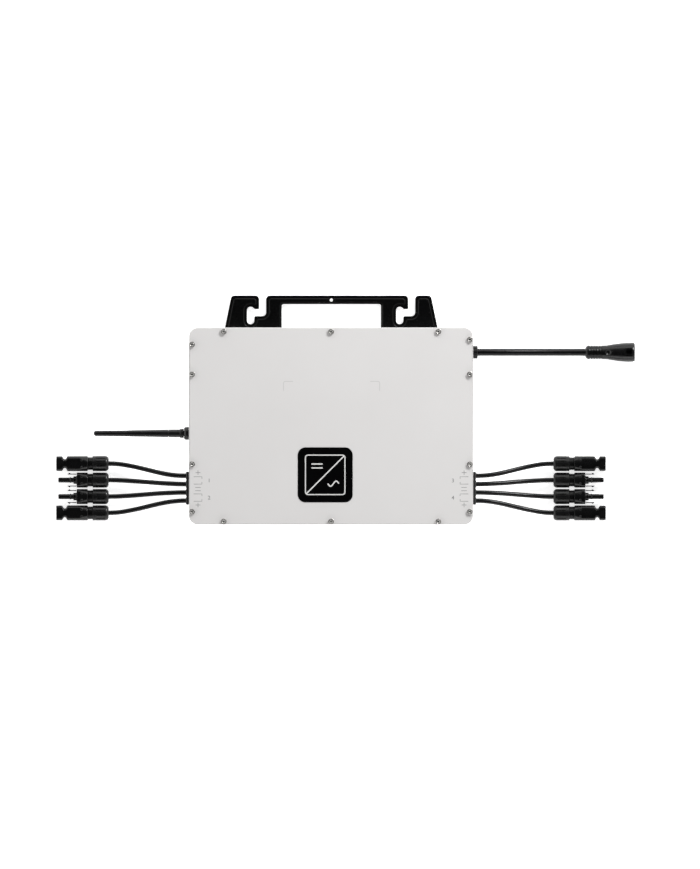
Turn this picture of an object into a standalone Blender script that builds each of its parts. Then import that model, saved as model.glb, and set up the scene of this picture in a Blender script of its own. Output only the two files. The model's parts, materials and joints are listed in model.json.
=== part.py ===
"""Panel-level solar inverter with four module inputs, lying on its cooling fins.

Units are metres. +Z points out of the front cover, +Y towards the mounting bracket and +X
towards the mains lead. The origin is the middle of the housing, on the plane of the fin tips.
"""

import math

import bmesh
import bpy
from mathutils import Euler, Matrix, Vector

MM = 0.001
GAP = 0.3 * MM
WELD = 0.001 * MM

# Die-cast housing
WIDTH = 331.0 * MM
HEIGHT = 229.4 * MM
CORNER_RADIUS = 10.5 * MM
CORNER_STEPS = 5
FIN_DEPTH = 10.0 * MM
FLOOR_TOP = 13.0 * MM
RIM_TOP = 33.2 * MM
EDGE_CHAMFER = 1.0 * MM
WALL = 4.2 * MM
LEDGE_INSET = 12.0 * MM
LEDGE_THICKNESS = 4.0 * MM
FIN_COUNT = 27
FIN_PITCH = 12.0 * MM
FIN_THICKNESS = 2.2 * MM
FIN_SPAN = (-106.0 * MM, 84.0 * MM)
BOSS_RADIUS = 3.5 * MM
SCREW_HOLE_RADIUS = 2.3 * MM
SCREW_HOLE_BOTTOM = 20.0 * MM
POST_RADIUS = 4.0 * MM
POST_PLACES = [(x * MM, y * MM) for x in (-140, 140) for y in (-90, 90)]

# Cover, its seal and its screws
COVER_THICKNESS = 2.5 * MM
COVER_BOTTOM = RIM_TOP + GAP
COVER_TOP = COVER_BOTTOM + COVER_THICKNESS
GASKET_INSETS = (8.1 * MM, 9.9 * MM)
GASKET_HEIGHT = 1.4 * MM
SCREW_SIDES = 10
COVER_SCREW_PLACES = (
    [(x * MM, 110.0 * MM) for x in (-125, 0, 125)]
    + [(161.8 * MM, y * MM) for y in (100.8, 60.1, -44.7, -99.8)]
    + [(x * MM, -111.3 * MM) for x in (125, 0, -125)]
    + [(-161.9 * MM, y * MM) for y in (-99.8, -44.4, 60.1, 95.0)]
)
COVER_SCREW_PROFILE = [(0, 2.3), (2.6, 2.3), (3.45, 1.2), (3.45, 0), (2.0, 0), (2.0, -12), (0, -12)]
COVER_SCREW_SOCKET = (1.45 * MM, 1.5 * MM)

# Pressed-steel mounting bracket
BRACKET_BACK = 3.0 * MM
BRACKET_FRONT = 6.0 * MM
BRACKET_TOP = 152.0 * MM
BRACKET_BOTTOM = 88.0 * MM
BRACKET_WINDOW = (-57.4 * MM, 58.1 * MM, 113.6 * MM, 142.0 * MM)
BRACKET_WINDOW_CORNER = 2.4 * MM
BRACKET_CORNER = 4.3 * MM
BRACKET_SHOULDER_Y = 114.7 * MM
BRACKET_LEFT = (-123.6 * MM, 0.2036)
BRACKET_RIGHT = (124.2 * MM, -0.2089)
HANGING_HOLE = (0.3 * MM, 146.8 * MM, 1.85 * MM)
BRACKET_SCREW_Y = 100.0 * MM
BRACKET_SCREW_PLACES = {
    "left": (-95.0 * MM, BRACKET_SCREW_Y),
    "middle": (0.0, BRACKET_SCREW_Y),
    "right": (95.0 * MM, BRACKET_SCREW_Y),
}
BRACKET_BOSS_RADIUS = 6.5 * MM
BRACKET_HOLE_RADIUS = 2.5 * MM
BRACKET_SCREW_PROFILE = [(0, 0), (4.4, 0), (4.4, -0.4), (2.2, -2.4), (2.2, -8.0), (0, -8.0)]
BRACKET_SCREW_SOCKET = (1.7 * MM, 1.5 * MM)
BRACKET_SCREW_RECESS = 0.1 * MM
COUNTERSINK_PROFILE = [(0, 4.0), (2.5, 4.0), (2.5, 2.6), (4.7, 0.6), (4.7, -1.0), (0, -1.0)]
HOOK_SLOT_RADIUS = 4.2 * MM
HOOK_SLOT_X = -93.7 * MM
HOOK_SLOT_Y = (122.9 * MM, 134.7 * MM)
HOOK_NOSE = (-83.8 * MM, 136.2 * MM)
HOOK_NOSE_START = -88.8 * MM
HOOK_NOSE_ANGLE = 49.0
HOOK_SHELF_Y = 128.0 * MM
HOOK_CHANNEL_X = -75.7 * MM
HOOK_FILLET = 4.3 * MM
HOOK_LEAD_IN = 4.5 * MM
HOOK_NOSE_CORNER = 1.2 * MM
HOOK_SHELF_CORNER = 1.6 * MM
HOOK_SPACING = 173.7 * MM

# Everything that leaves the side walls is centred at this height
EXIT_Z = 21.5 * MM
SIDE = WIDTH / 2

# Screw-on antenna
ANTENNA_Y = -8.6 * MM
ANTENNA_FLANGE_LENGTH = 5.8 * MM
ANTENNA_FLANGE_RADIUS = 7.5 * MM
ANTENNA_STUB_RADIUS = 3.1 * MM
ANTENNA_STUB_END = 10.2 * MM
ANTENNA_BORE_RADIUS = 3.5 * MM
ANTENNA_COLLAR_RADIUS = 5.2 * MM
ANTENNA_COLLAR_END = 10.8 * MM
ANTENNA_SLEEVE_RADIUS = 4.45 * MM
ANTENNA_SLEEVE_END = 23.7 * MM
ANTENNA_ROD_RADII = (4.25 * MM, 3.15 * MM)
ANTENNA_LENGTH = 111.1 * MM
ANTENNA_HOLE_RADIUS = 4.3 * MM

# Mains lead
AC_Y = 85.9 * MM
AC_CABLE_RADIUS = 4.25 * MM
AC_GLAND_RADIUS = 7.55 * MM
AC_GLAND_LENGTH = 5.5 * MM
AC_HOLE_RADIUS = 5.9 * MM
AC_CONNECTOR_X = 296.3 * MM
AC_BARREL_RADIUS = 11.2 * MM
AC_GRIP_RADIUS = 8.1 * MM
AC_CONNECTOR_LENGTH = 57.8 * MM
AC_MOUTH_RADIUS = 8.2 * MM
AC_MOUTH_DEPTH = 14.0 * MM

# Module leads, four on each side; line 1 is nearest the bracket
DC_CABLE_RADIUS = 2.75 * MM
DC_EXIT_Y = [y * MM for y in (-57.9, -67.7, -77.4, -87.0)]
DC_AXIS_Y = [y * MM for y in (-43.8, -63.0, -82.2, -101.2)]
DC_CONNECTOR_X = 259.0 * MM
SOCKET_LINES = (1, 4)
GROMMET_HALF = (19.2 * MM, 6.0 * MM)
GROMMET_NECK_HALF = (17.0 * MM, 4.5 * MM)
GROMMET_FLANGE = 3.1 * MM
GROMMET_DEPTH = 3.6 * MM
NUT_LENGTH = 18.7 * MM
NUT_RADIUS = 8.8 * MM
WAIST_LENGTH = 5.4 * MM
WAIST_RADIUS = 7.6 * MM
BODY_HALF = 8.8 * MM
SOCKET_BODY_LENGTH = 24.4 * MM
SOCKET_NECK_LENGTH = 5.4 * MM
SOCKET_NECK_HALF = (5.4 * MM, 6.8 * MM)
SOCKET_FLANGE_LENGTH = 7.3 * MM
SOCKET_FLANGE_HALF = 8.7 * MM
SOCKET_ENTRY = (4.5 * MM, 4.4 * MM)
SOCKET_BORE = (3.3 * MM, 21.6 * MM)
ARM_SLOT = (8.5 * MM, 2.4 * MM, 3.2 * MM)
PLUG_BODY_LENGTH = 13.4 * MM
PLUG_COLLAR = (4.4 * MM, 3.5 * MM)
PLUG_NOSE = (2.9 * MM, 21.3 * MM)
ARM_OFFSET = 7.0 * MM
ARM_THICKNESS = 1.2 * MM
ARM_LENGTH = 9.4 * MM
ARM_WIDTH = 5.5 * MM
ARM_BARB = 0.8 * MM
RESTING_GAP = 0.2 * MM

# Circuit board and what it carries
BOARD_HALF = (152.0 * MM, 101.5 * MM)
BOARD_Z = (17.5 * MM, 19.1 * MM)
PARTS_Z = BOARD_Z[1] + GAP
TRANSFORMER_PLACES = [(x * MM, -52 * MM) for x in (-112, -38, 38, 112)]
TRANSFORMER_CORE = (19.0 * MM, 15.0 * MM, 11.0 * MM)
WINDING_RADIUS = 16.5 * MM
CHOKE_PLACE = (80.0 * MM, 66.0 * MM)
CHOKE_RADII = (13.0 * MM, 5.2 * MM)
RELAY_BOX = ((112.0 * MM, 58.0 * MM), (141.0 * MM, 71.0 * MM))
RELAY_HEIGHT = 12.5 * MM
CAPACITOR_PLACES = [(x * MM, 20 * MM) for x in range(-60, 61, 20)]
CAPACITOR_RADIUS = 7.8 * MM
CAPACITOR_HEIGHT = 12.0 * MM
CAPACITOR_BASE = ((-70.0 * MM, 11.0 * MM), (70.0 * MM, 29.0 * MM))

# Cord routes in millimetres, from the housing to the connector, on the +X side
AC_ROUTE = [
    (171.3, 85.9, 21.5), (184.0, 85.9, 21.4), (200.0, 85.9, 20.2), (217.0, 85.9, 17.9),
    (234.0, 85.9, 15.2), (251.0, 85.9, 13.0), (268.0, 85.9, 11.7), (284.0, 85.9, 11.4),
    (296.0, 85.9, 11.4),
]
DC_ROUTES = [
    [(169.4, -57.9, 21.5), (177.0, -57.8, 21.4), (188.0, -56.7, 20.4), (200.0, -54.4, 17.8),
     (212.0, -51.5, 14.4), (224.0, -48.6, 11.3), (236.0, -46.1, 9.5), (248.0, -44.3, 9.0),
     (258.7, -43.8, 9.0)],
    [(169.4, -67.7, 21.5), (177.0, -67.6, 21.4), (188.0, -67.1, 20.2), (200.0, -66.4, 17.5),
     (212.0, -65.5, 14.1), (224.0, -64.6, 11.1), (236.0, -63.8, 9.4), (248.0, -63.2, 9.0),
     (258.7, -63.0, 9.0)],
    [(169.4, -77.4, 21.5), (177.0, -77.5, 21.4), (188.0, -77.9, 20.3), (200.0, -78.5, 17.7),
     (212.0, -79.4, 14.3), (224.0, -80.4, 11.2), (236.0, -81.3, 9.4), (248.0, -82.0, 9.0),
     (258.7, -82.2, 9.0)],
    [(169.4, -87.0, 21.5), (177.0, -87.2, 21.4), (188.0, -88.4, 20.5), (200.0, -90.6, 18.0),
     (212.0, -93.4, 14.6), (224.0, -96.3, 11.5), (236.0, -98.8, 9.6), (248.0, -100.7, 9.0),
     (258.7, -101.2, 9.0)],
]

OBJECT_COLLECTION = "panel_inverter"
HELPER_COLLECTION = "cutters"


# --- Scene, materials and objects ---------------------------------------------------------


def clear_scene():
    for obj in list(bpy.data.objects):
        bpy.data.objects.remove(obj, do_unlink=True)
    for name in (OBJECT_COLLECTION, HELPER_COLLECTION):
        bpy.context.scene.collection.children.link(bpy.data.collections.new(name))


def principled(name, colour, roughness, metallic=0.0):
    material = bpy.data.materials.new(name)
    material.use_nodes = True
    shader = material.node_tree.nodes["Principled BSDF"]
    shader.inputs["Base Color"].default_value = (*colour, 1.0)
    shader.inputs["Roughness"].default_value = roughness
    shader.inputs["Metallic"].default_value = metallic
    return material


def add_object(name, data, material=None):
    obj = bpy.data.objects.new(name, data)
    bpy.data.collections[OBJECT_COLLECTION].objects.link(obj)
    if material and not data.materials:
        data.materials.append(material)
    return obj


def make_helper(obj):
    """Moves a cutter or a joined shape out of the object and hides it from renders."""
    if obj.name in bpy.data.collections[OBJECT_COLLECTION].objects:
        bpy.data.collections[OBJECT_COLLECTION].objects.unlink(obj)
        bpy.data.collections[HELPER_COLLECTION].objects.link(obj)
    obj.hide_render = True
    obj.display_type = "WIRE"


def boolean(obj, other, operation):
    modifier = obj.modifiers.new(other.name, "BOOLEAN")
    modifier.operation = operation
    modifier.object = other
    make_helper(other)


def cut(obj, *others):
    for other in others:
        boolean(obj, other, "DIFFERENCE")


def join(obj, *others):
    for other in others:
        boolean(obj, other, "UNION")


def as_mesh(obj):
    """The object again as a plain mesh, its modifiers applied and its loose caps welded."""
    bpy.context.view_layer.update()
    graph = bpy.context.evaluated_depsgraph_get()
    mesh = bpy.data.meshes.new_from_object(obj.evaluated_get(graph))
    welded = bmesh.new()
    welded.from_mesh(mesh)
    bmesh.ops.remove_doubles(welded, verts=welded.verts, dist=WELD)
    welded.to_mesh(mesh)
    welded.free()
    name, place = obj.name, obj.matrix_world.copy()
    helpers = [modifier.object for modifier in obj.modifiers if modifier.type == "BOOLEAN"]
    for used in (obj, *helpers):
        bpy.data.objects.remove(used, do_unlink=True)
    solid = add_object(name, mesh)
    solid.matrix_world = place
    return solid


def shared_mesh(obj):
    """The finished mesh of an object that has copies, in world axes; the object is removed."""
    solid = as_mesh(obj)
    mesh = solid.data
    mesh.transform(solid.matrix_world)
    bpy.data.objects.remove(solid, do_unlink=True)
    mesh.shade_smooth()
    mesh.set_sharp_from_angle(angle=math.radians(30))
    return mesh


# --- Shapes -------------------------------------------------------------------------------


def in_metres(pairs):
    return [(a * MM, b * MM) for a, b in pairs]


def arc(centre, radius, start, end, steps):
    """Points on a circle from one angle to another, in degrees, both ends included."""
    angles = [math.radians(start + (end - start) * i / steps) for i in range(steps + 1)]
    return [(centre[0] + radius * math.cos(a), centre[1] + radius * math.sin(a)) for a in angles]


def circle(centre, radius, sides):
    return arc(centre, radius, 0, 360 * (sides - 1) / sides, sides - 1)


def rounded_rectangle(width, height, radius, steps=CORNER_STEPS):
    outline = []
    for sign_x, sign_y, start in ((1, 1, 0), (-1, 1, 90), (-1, -1, 180), (1, -1, 270)):
        centre = (sign_x * (width / 2 - radius), sign_y * (height / 2 - radius))
        outline += arc(centre, radius, start, start + 90, steps)
    return outline


def housing_outline(inset):
    radius = max(CORNER_RADIUS - inset, 2 * MM)
    return rounded_rectangle(WIDTH - 2 * inset, HEIGHT - 2 * inset, radius)


def chamfered_square(half, chamfer):
    near = half - chamfer
    corners = ((half, near), (near, half), (-near, half), (-half, near))
    return [*corners, *((-x, -y) for x, y in corners)]


def plate(name, outlines, bottom, top, material=None):
    """A flat solid between two heights; an outline inside another one is a hole."""
    curve = bpy.data.curves.new(name, "CURVE")
    curve.dimensions = "2D"
    curve.fill_mode = "BOTH"
    curve.extrude = (top - bottom) / 2
    for outline in outlines:
        spline = curve.splines.new("POLY")
        spline.points.add(len(outline) - 1)
        for point, (x, y) in zip(spline.points, outline):
            point.co = (x, y, 0, 1)
        spline.use_cyclic_u = True
    obj = add_object(name, curve, material)
    obj.location.z = (bottom + top) / 2
    return as_mesh(obj)


def bar_along_x(name, outline, start, end):
    """A straight bar along X with its outline in Y and Z."""
    bar = plate(name, [outline], start, end)
    upright_to_x = Matrix(((0, 0, 1, 0), (1, 0, 0, 0), (0, 1, 0, 0), (0, 0, 0, 1)))
    bar.matrix_world = upright_to_x @ bar.matrix_world
    return bar


def turned(name, profile, sides, material=None):
    """A solid turned about local Z, from (radius, height) pairs that run top to bottom."""
    mesh = bpy.data.meshes.new(name)
    edges = [(i, i + 1) for i in range(len(profile) - 1)]
    mesh.from_pydata([(radius, 0, height) for radius, height in profile], edges, [])
    obj = add_object(name, mesh, material)
    screw = obj.modifiers.new("Turn", "SCREW")
    screw.steps = sides
    screw.render_steps = sides
    screw.use_merge_vertices = True
    screw.merge_threshold = WELD
    solid = as_mesh(obj)
    solid.data.shade_smooth()
    solid.data.set_sharp_from_angle(angle=math.radians(30))
    return solid


def turned_along_x(name, profile, sides, direction=1, material=None):
    """A solid turned about the X axis, from (distance, radius) pairs that run outwards."""
    solid = turned(name, [(radius, distance) for distance, radius in reversed(profile)], sides, material)
    solid.rotation_euler = Euler((0, math.radians(90) * direction, 0))
    return solid


def boxes(name, corners, material=None):
    """One mesh of separate boxes, from pairs of lowest and highest corners."""
    shape = bmesh.new()
    for low, high in corners:
        low, high = Vector(low), Vector(high)
        place = Matrix.Translation((low + high) / 2) @ Matrix.Diagonal((*(high - low), 1))
        bmesh.ops.create_cube(shape, size=1, matrix=place)
    mesh = bpy.data.meshes.new(name)
    shape.to_mesh(mesh)
    shape.free()
    return add_object(name, mesh, material)


def cylinders(name, places, radius, bottom, top, sides):
    """One mesh of separate upright cylinders."""
    shape = bmesh.new()
    for x, y in places:
        place = Matrix.Translation((x, y, (bottom + top) / 2))
        bmesh.ops.create_cone(shape, cap_ends=True, segments=sides, radius1=radius,
                              radius2=radius, depth=top - bottom, matrix=place)
    mesh = bpy.data.meshes.new(name)
    shape.to_mesh(mesh)
    shape.free()
    return add_object(name, mesh)


def bevel(obj, width, segments=1, angle=60):
    modifier = obj.modifiers.new("Bevel", "BEVEL")
    modifier.width = width
    modifier.segments = segments
    modifier.limit_method = "ANGLE"
    modifier.angle_limit = math.radians(angle)


def smooth_route(points, count):
    """Points at even steps on the Catmull-Rom curve through a route."""
    points = [Vector(point) * MM for point in points]
    padded = [2 * points[0] - points[1], *points, 2 * points[-1] - points[-2]]
    fine = []
    for a, b, c, d in zip(padded, padded[1:], padded[2:], padded[3:]):
        for step in range(20):
            t = step / 20
            fine.append(0.5 * (2 * b + (c - a) * t + (2 * a - 5 * b + 4 * c - d) * t**2
                               + (3 * b - a - 3 * c + d) * t**3))
    fine.append(points[-1])
    lengths = [0.0]
    for near, far in zip(fine, fine[1:]):
        lengths.append(lengths[-1] + (far - near).length)
    even, index = [], 0
    for step in range(count):
        target = lengths[-1] * step / (count - 1)
        while index < len(fine) - 2 and lengths[index + 1] < target:
            index += 1
        part = (target - lengths[index]) / (lengths[index + 1] - lengths[index])
        even.append(fine[index].lerp(fine[index + 1], part))
    return even


def tube(name, points, radius, material):
    curve = bpy.data.curves.new(name, "CURVE")
    curve.dimensions = "3D"
    curve.bevel_depth = radius
    curve.bevel_resolution = 2
    curve.use_fill_caps = True
    spline = curve.splines.new("POLY")
    spline.points.add(len(points) - 1)
    for point, place in zip(spline.points, points):
        point.co = (*place, 1)
    return add_object(name, curve, material)


# --- Housing and cover --------------------------------------------------------------------


def rear_housing(material):
    housing = plate("rear_housing", [housing_outline(0)], FIN_DEPTH, RIM_TOP, material)
    bevel(housing, EDGE_CHAMFER)
    ledge_bottom = RIM_TOP - LEDGE_THICKNESS
    cut(housing,
        plate("cavity", [housing_outline(WALL)], FLOOR_TOP, ledge_bottom),
        plate("mouth", [housing_outline(LEDGE_INSET)], FLOOR_TOP + MM, RIM_TOP + MM))
    first_fin = -(FIN_PITCH * (FIN_COUNT - 1) + FIN_THICKNESS) / 2
    fin_edges = [first_fin + FIN_PITCH * i for i in range(FIN_COUNT)]
    fin_low, fin_high = FIN_SPAN
    fins = boxes("fins", [((x, fin_low, 0), (x + FIN_THICKNESS, fin_high, FIN_DEPTH + MM))
                          for x in fin_edges])
    bracket_places = list(BRACKET_SCREW_PLACES.values())
    join(housing, fins,
         cylinders("screw_bosses", COVER_SCREW_PLACES, BOSS_RADIUS, FLOOR_TOP - MM,
                   ledge_bottom + MM, 10),
         cylinders("board_posts", POST_PLACES, POST_RADIUS, FLOOR_TOP - MM, BOARD_Z[0] - GAP, 10),
         cylinders("bracket_bosses", bracket_places, BRACKET_BOSS_RADIUS, BRACKET_FRONT + GAP,
                   FIN_DEPTH + MM, 14))
    outer, inner = GASKET_INSETS
    groove = plate("gasket_groove", [housing_outline(outer - GAP), housing_outline(inner + GAP)],
                   RIM_TOP - GASKET_HEIGHT, RIM_TOP + MM)
    cut(housing, groove,
        cylinders("screw_holes", COVER_SCREW_PLACES, SCREW_HOLE_RADIUS, SCREW_HOLE_BOTTOM,
                  RIM_TOP + MM, 10),
        cylinders("bracket_holes", bracket_places, BRACKET_HOLE_RADIUS, BRACKET_FRONT,
                  FLOOR_TOP - MM, 10),
        *wall_openings())
    return housing


def wall_openings():
    """Cutters for the two grommet slots, the mains gland and the antenna base."""
    openings = []
    middle = sum(DC_EXIT_Y) / len(DC_EXIT_Y)
    half_y, half_z = (half + GAP for half in GROMMET_NECK_HALF)
    for direction in (-1, 1):
        start, end = sorted((direction * (SIDE - 2 * WALL), direction * (SIDE + MM)))
        openings.append(((start, middle - half_y, EXIT_Z - half_z),
                         (end, middle + half_y, EXIT_Z + half_z)))
    slots = boxes("grommet_slots", openings)
    round_holes = []
    for name, y, radius, direction in (("gland_hole", AC_Y, AC_HOLE_RADIUS, 1),
                                       ("antenna_hole", ANTENNA_Y, ANTENNA_HOLE_RADIUS, -1)):
        profile = [(-2 * WALL, 0), (-2 * WALL, radius), (MM, radius), (MM, 0)]
        hole = turned_along_x(name, profile, 12, direction)
        hole.location = (direction * SIDE, y, EXIT_Z)
        round_holes.append(hole)
    return [slots, *round_holes]


def front_cover(material):
    holes = [circle(place, SCREW_HOLE_RADIUS, SCREW_SIDES) for place in COVER_SCREW_PLACES]
    return plate("front_cover", [housing_outline(0), *holes], COVER_BOTTOM, COVER_TOP, material)


def cover_gasket(material):
    outlines = [housing_outline(inset) for inset in GASKET_INSETS]
    bottom = RIM_TOP - GASKET_HEIGHT + GAP
    return plate("cover_gasket", outlines, bottom, COVER_BOTTOM - GAP / 2, material)


def screw_mesh(name, profile, socket, material):
    """A screw turned from its profile in millimetres, with a hexagon socket in its head."""
    profile = in_metres(profile)
    socket_radius, socket_depth = socket
    head_top = profile[0][1]
    screw = turned(name, profile, SCREW_SIDES, material)
    cut(screw, cylinders("socket", [(0, 0)], socket_radius, head_top - socket_depth, head_top + MM, 6))
    return shared_mesh(screw)


def cover_screws(material):
    mesh = screw_mesh("cover_screw", COVER_SCREW_PROFILE, COVER_SCREW_SOCKET, material)
    for number, (x, y) in enumerate(COVER_SCREW_PLACES, 1):
        screw = add_object(f"cover_screw_{number:02d}", mesh)
        screw.location = (x, y, COVER_TOP + GAP)


# --- Mounting bracket ---------------------------------------------------------------------


def hook_cutout(shift):
    """The open edge of one bolt hook: nose, slot, shelf and channel, from left to right."""
    slot_low, slot_high = HOOK_SLOT_Y
    nose_x, nose_y = HOOK_NOSE
    radius = HOOK_SLOT_RADIUS
    lead_in, corner, shelf = HOOK_LEAD_IN, HOOK_NOSE_CORNER, HOOK_SHELF_CORNER
    outline = arc((nose_x - lead_in, BRACKET_TOP - lead_in), lead_in, 90, 0, 4)
    outline += arc((nose_x - corner, nose_y + corner), corner, 0, -90, 2)
    outline.append((HOOK_NOSE_START, nose_y))
    outline += arc((HOOK_SLOT_X, slot_high), radius, HOOK_NOSE_ANGLE, 180, 7)
    outline += arc((HOOK_SLOT_X, slot_low), radius, 180, 360, 8)
    outline += arc((HOOK_SLOT_X + radius + shelf, HOOK_SHELF_Y - shelf), shelf, 180, 90, 2)
    fillet = (HOOK_CHANNEL_X - HOOK_FILLET, HOOK_SHELF_Y + HOOK_FILLET)
    outline += arc(fillet, HOOK_FILLET, 270, 360, 3)
    outline += arc((HOOK_CHANNEL_X + lead_in, BRACKET_TOP - lead_in), lead_in, 180, 90, 4)
    return [(x + shift, y) for x, y in outline]


def bracket_corner(side, inwards):
    """An upper outer corner, where a sloping side runs into the top edge."""
    foot, slope = side
    centre_y = BRACKET_TOP - BRACKET_CORNER
    side_x = foot + slope * (centre_y - BRACKET_SHOULDER_Y)
    tilt = math.atan(abs(slope))
    centre = (side_x + inwards * BRACKET_CORNER / math.cos(tilt), centre_y)
    return arc(centre, BRACKET_CORNER, 90 + inwards * (90 - math.degrees(tilt)), 90, 4)


def mounting_bracket(material):
    foot_left, foot_right = BRACKET_LEFT[0], BRACKET_RIGHT[0]
    low, radius = BRACKET_BOTTOM, BRACKET_CORNER
    outline = [(foot_left, BRACKET_SHOULDER_Y)]
    outline += bracket_corner(BRACKET_LEFT, 1)
    outline += hook_cutout(0) + hook_cutout(HOOK_SPACING)
    outline += reversed(bracket_corner(BRACKET_RIGHT, -1))
    outline.append((foot_right, BRACKET_SHOULDER_Y))
    outline += arc((foot_right - radius, low + radius), radius, 0, -90, 3)
    outline += arc((foot_left + radius, low + radius), radius, 270, 180, 3)
    left, right, low, high = BRACKET_WINDOW
    window = [(x + (left + right) / 2, y + (low + high) / 2)
              for x, y in rounded_rectangle(right - left, high - low, BRACKET_WINDOW_CORNER, 3)]
    hole_x, hole_y, hole_radius = HANGING_HOLE
    outlines = [outline, window, circle((hole_x, hole_y), hole_radius, 12)]
    bracket = plate("mounting_bracket", outlines, BRACKET_BACK, BRACKET_FRONT, material)
    for name, (x, y) in BRACKET_SCREW_PLACES.items():
        countersink = turned(f"countersink_{name}", in_metres(COUNTERSINK_PROFILE), SCREW_SIDES)
        countersink.location = (x, y, BRACKET_BACK)
        cut(bracket, countersink)
    return bracket


def bracket_screws(material):
    mesh = screw_mesh("bracket_screw", BRACKET_SCREW_PROFILE, BRACKET_SCREW_SOCKET, material)
    for name, (x, y) in BRACKET_SCREW_PLACES.items():
        screw = add_object(f"bracket_screw_{name}", mesh)
        screw.rotation_euler = Euler((math.pi, 0, 0))
        screw.location = (x, y, BRACKET_BACK + BRACKET_SCREW_RECESS)


# --- Antenna ------------------------------------------------------------------------------


def antenna(metal, plastic):
    """The threaded base in the wall, and the whip that screws onto it and turns on its axis."""
    base = turned_along_x("antenna_base", [
        (-8.5 * MM, 0), (-8.5 * MM, 6.5 * MM), (-WALL - GAP, 6.5 * MM),
        (-WALL - GAP, ANTENNA_HOLE_RADIUS - GAP), (GAP, ANTENNA_HOLE_RADIUS - GAP),
        (GAP, ANTENNA_FLANGE_RADIUS), (ANTENNA_FLANGE_LENGTH, ANTENNA_FLANGE_RADIUS),
        (ANTENNA_FLANGE_LENGTH, ANTENNA_STUB_RADIUS), (ANTENNA_STUB_END, ANTENNA_STUB_RADIUS),
        (ANTENNA_STUB_END, 0),
    ], 12, -1, metal)
    thick, thin = ANTENNA_ROD_RADII
    start = ANTENNA_FLANGE_LENGTH + GAP
    whip = turned_along_x("antenna_whip", [
        (ANTENNA_COLLAR_END - 0.1 * MM, 0), (ANTENNA_COLLAR_END - 0.1 * MM, ANTENNA_BORE_RADIUS),
        (start, ANTENNA_BORE_RADIUS), (start, ANTENNA_COLLAR_RADIUS),
        (ANTENNA_COLLAR_END, ANTENNA_COLLAR_RADIUS), (ANTENNA_COLLAR_END, ANTENNA_SLEEVE_RADIUS),
        (ANTENNA_SLEEVE_END, ANTENNA_SLEEVE_RADIUS), (ANTENNA_SLEEVE_END, thick),
        (66 * MM, 3.8 * MM), (75 * MM, 3.4 * MM),
        (ANTENNA_LENGTH - thin, thin), (ANTENNA_LENGTH - 0.3 * thin, 0.7 * thin), (ANTENNA_LENGTH, 0),
    ], 12, -1, plastic)
    for piece in (base, whip):
        piece.location = (-SIDE, ANTENNA_Y, EXIT_Z)


# --- Mains lead ---------------------------------------------------------------------------


def mains_lead(gland_material, cable_material, connector_material):
    gland = turned_along_x("ac_gland", [
        (-8 * MM, 0), (-8 * MM, AC_HOLE_RADIUS - GAP), (GAP, AC_HOLE_RADIUS - GAP),
        (GAP, AC_GLAND_RADIUS), (AC_GLAND_LENGTH - 0.8 * MM, AC_GLAND_RADIUS),
        (AC_GLAND_LENGTH, AC_GLAND_RADIUS - 1.2 * MM), (AC_GLAND_LENGTH, 0),
    ], 14, 1, gland_material)
    gland.location = (SIDE, AC_Y, EXIT_Z)
    tube("ac_cable", smooth_route(AC_ROUTE, 8), AC_CABLE_RADIUS, cable_material)
    barrel, grip = AC_BARREL_RADIUS, AC_GRIP_RADIUS
    connector = turned_along_x("ac_connector", [
        (0, 0), (0, 5.4 * MM), (2 * MM, grip), (24.5 * MM, grip),
        (31 * MM, 9.2 * MM), (38 * MM, 10.3 * MM), (44 * MM, 10.9 * MM), (50 * MM, barrel),
        (AC_CONNECTOR_LENGTH - 2 * MM, barrel), (AC_CONNECTOR_LENGTH, barrel - MM),
        (AC_CONNECTOR_LENGTH, AC_MOUTH_RADIUS),
        (AC_CONNECTOR_LENGTH - AC_MOUTH_DEPTH, AC_MOUTH_RADIUS),
        (AC_CONNECTOR_LENGTH - AC_MOUTH_DEPTH, 0),
    ], 16, 1, connector_material)
    connector.location = (AC_CONNECTOR_X, AC_Y, barrel + RESTING_GAP)
    window_x = AC_CONNECTOR_X + AC_CONNECTOR_LENGTH - 8 * MM
    window = boxes("latch_window", [((window_x - 3.3 * MM, AC_Y - 2 * MM, barrel + 5 * MM),
                                     (window_x + 3.3 * MM, AC_Y + 2 * MM, 2.5 * barrel))])
    cut(connector, window)


# --- Module leads -------------------------------------------------------------------------


def dc_grommets(material):
    middle = sum(DC_EXIT_Y) / len(DC_EXIT_Y)
    half_y, half_z = GROMMET_HALF
    neck_y, neck_z = GROMMET_NECK_HALF
    for side, direction in (("left", -1), ("right", 1)):
        flange = boxes(f"dc_grommet_{side}",
                       [((GAP, -half_y, -half_z), (GROMMET_FLANGE, half_y, half_z))], material)
        bevel(flange, 0.8 * MM)
        neck = boxes(f"neck_{side}", [((-6 * MM, -neck_y, -neck_z), (GAP + MM, neck_y, neck_z))])
        boots = [boot_of_grommet(f"boot_{side}_{line}", (y - middle) * direction)
                 for line, y in enumerate(DC_EXIT_Y, 1)]
        for piece in (neck, *boots, flange):
            turn = Matrix.Rotation(0 if direction > 0 else math.pi, 4, "Z")
            place = Matrix.Translation((direction * SIDE, middle, EXIT_Z))
            piece.matrix_world = place @ turn @ piece.matrix_basis
        join(flange, neck, *boots)


def boot_of_grommet(name, y):
    profile = [(MM, 0), (MM, 3.9 * MM), (GROMMET_DEPTH, 3.3 * MM), (GROMMET_DEPTH, 0)]
    boot = turned_along_x(name, profile, 10)
    boot.location.y = y
    return boot


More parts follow.
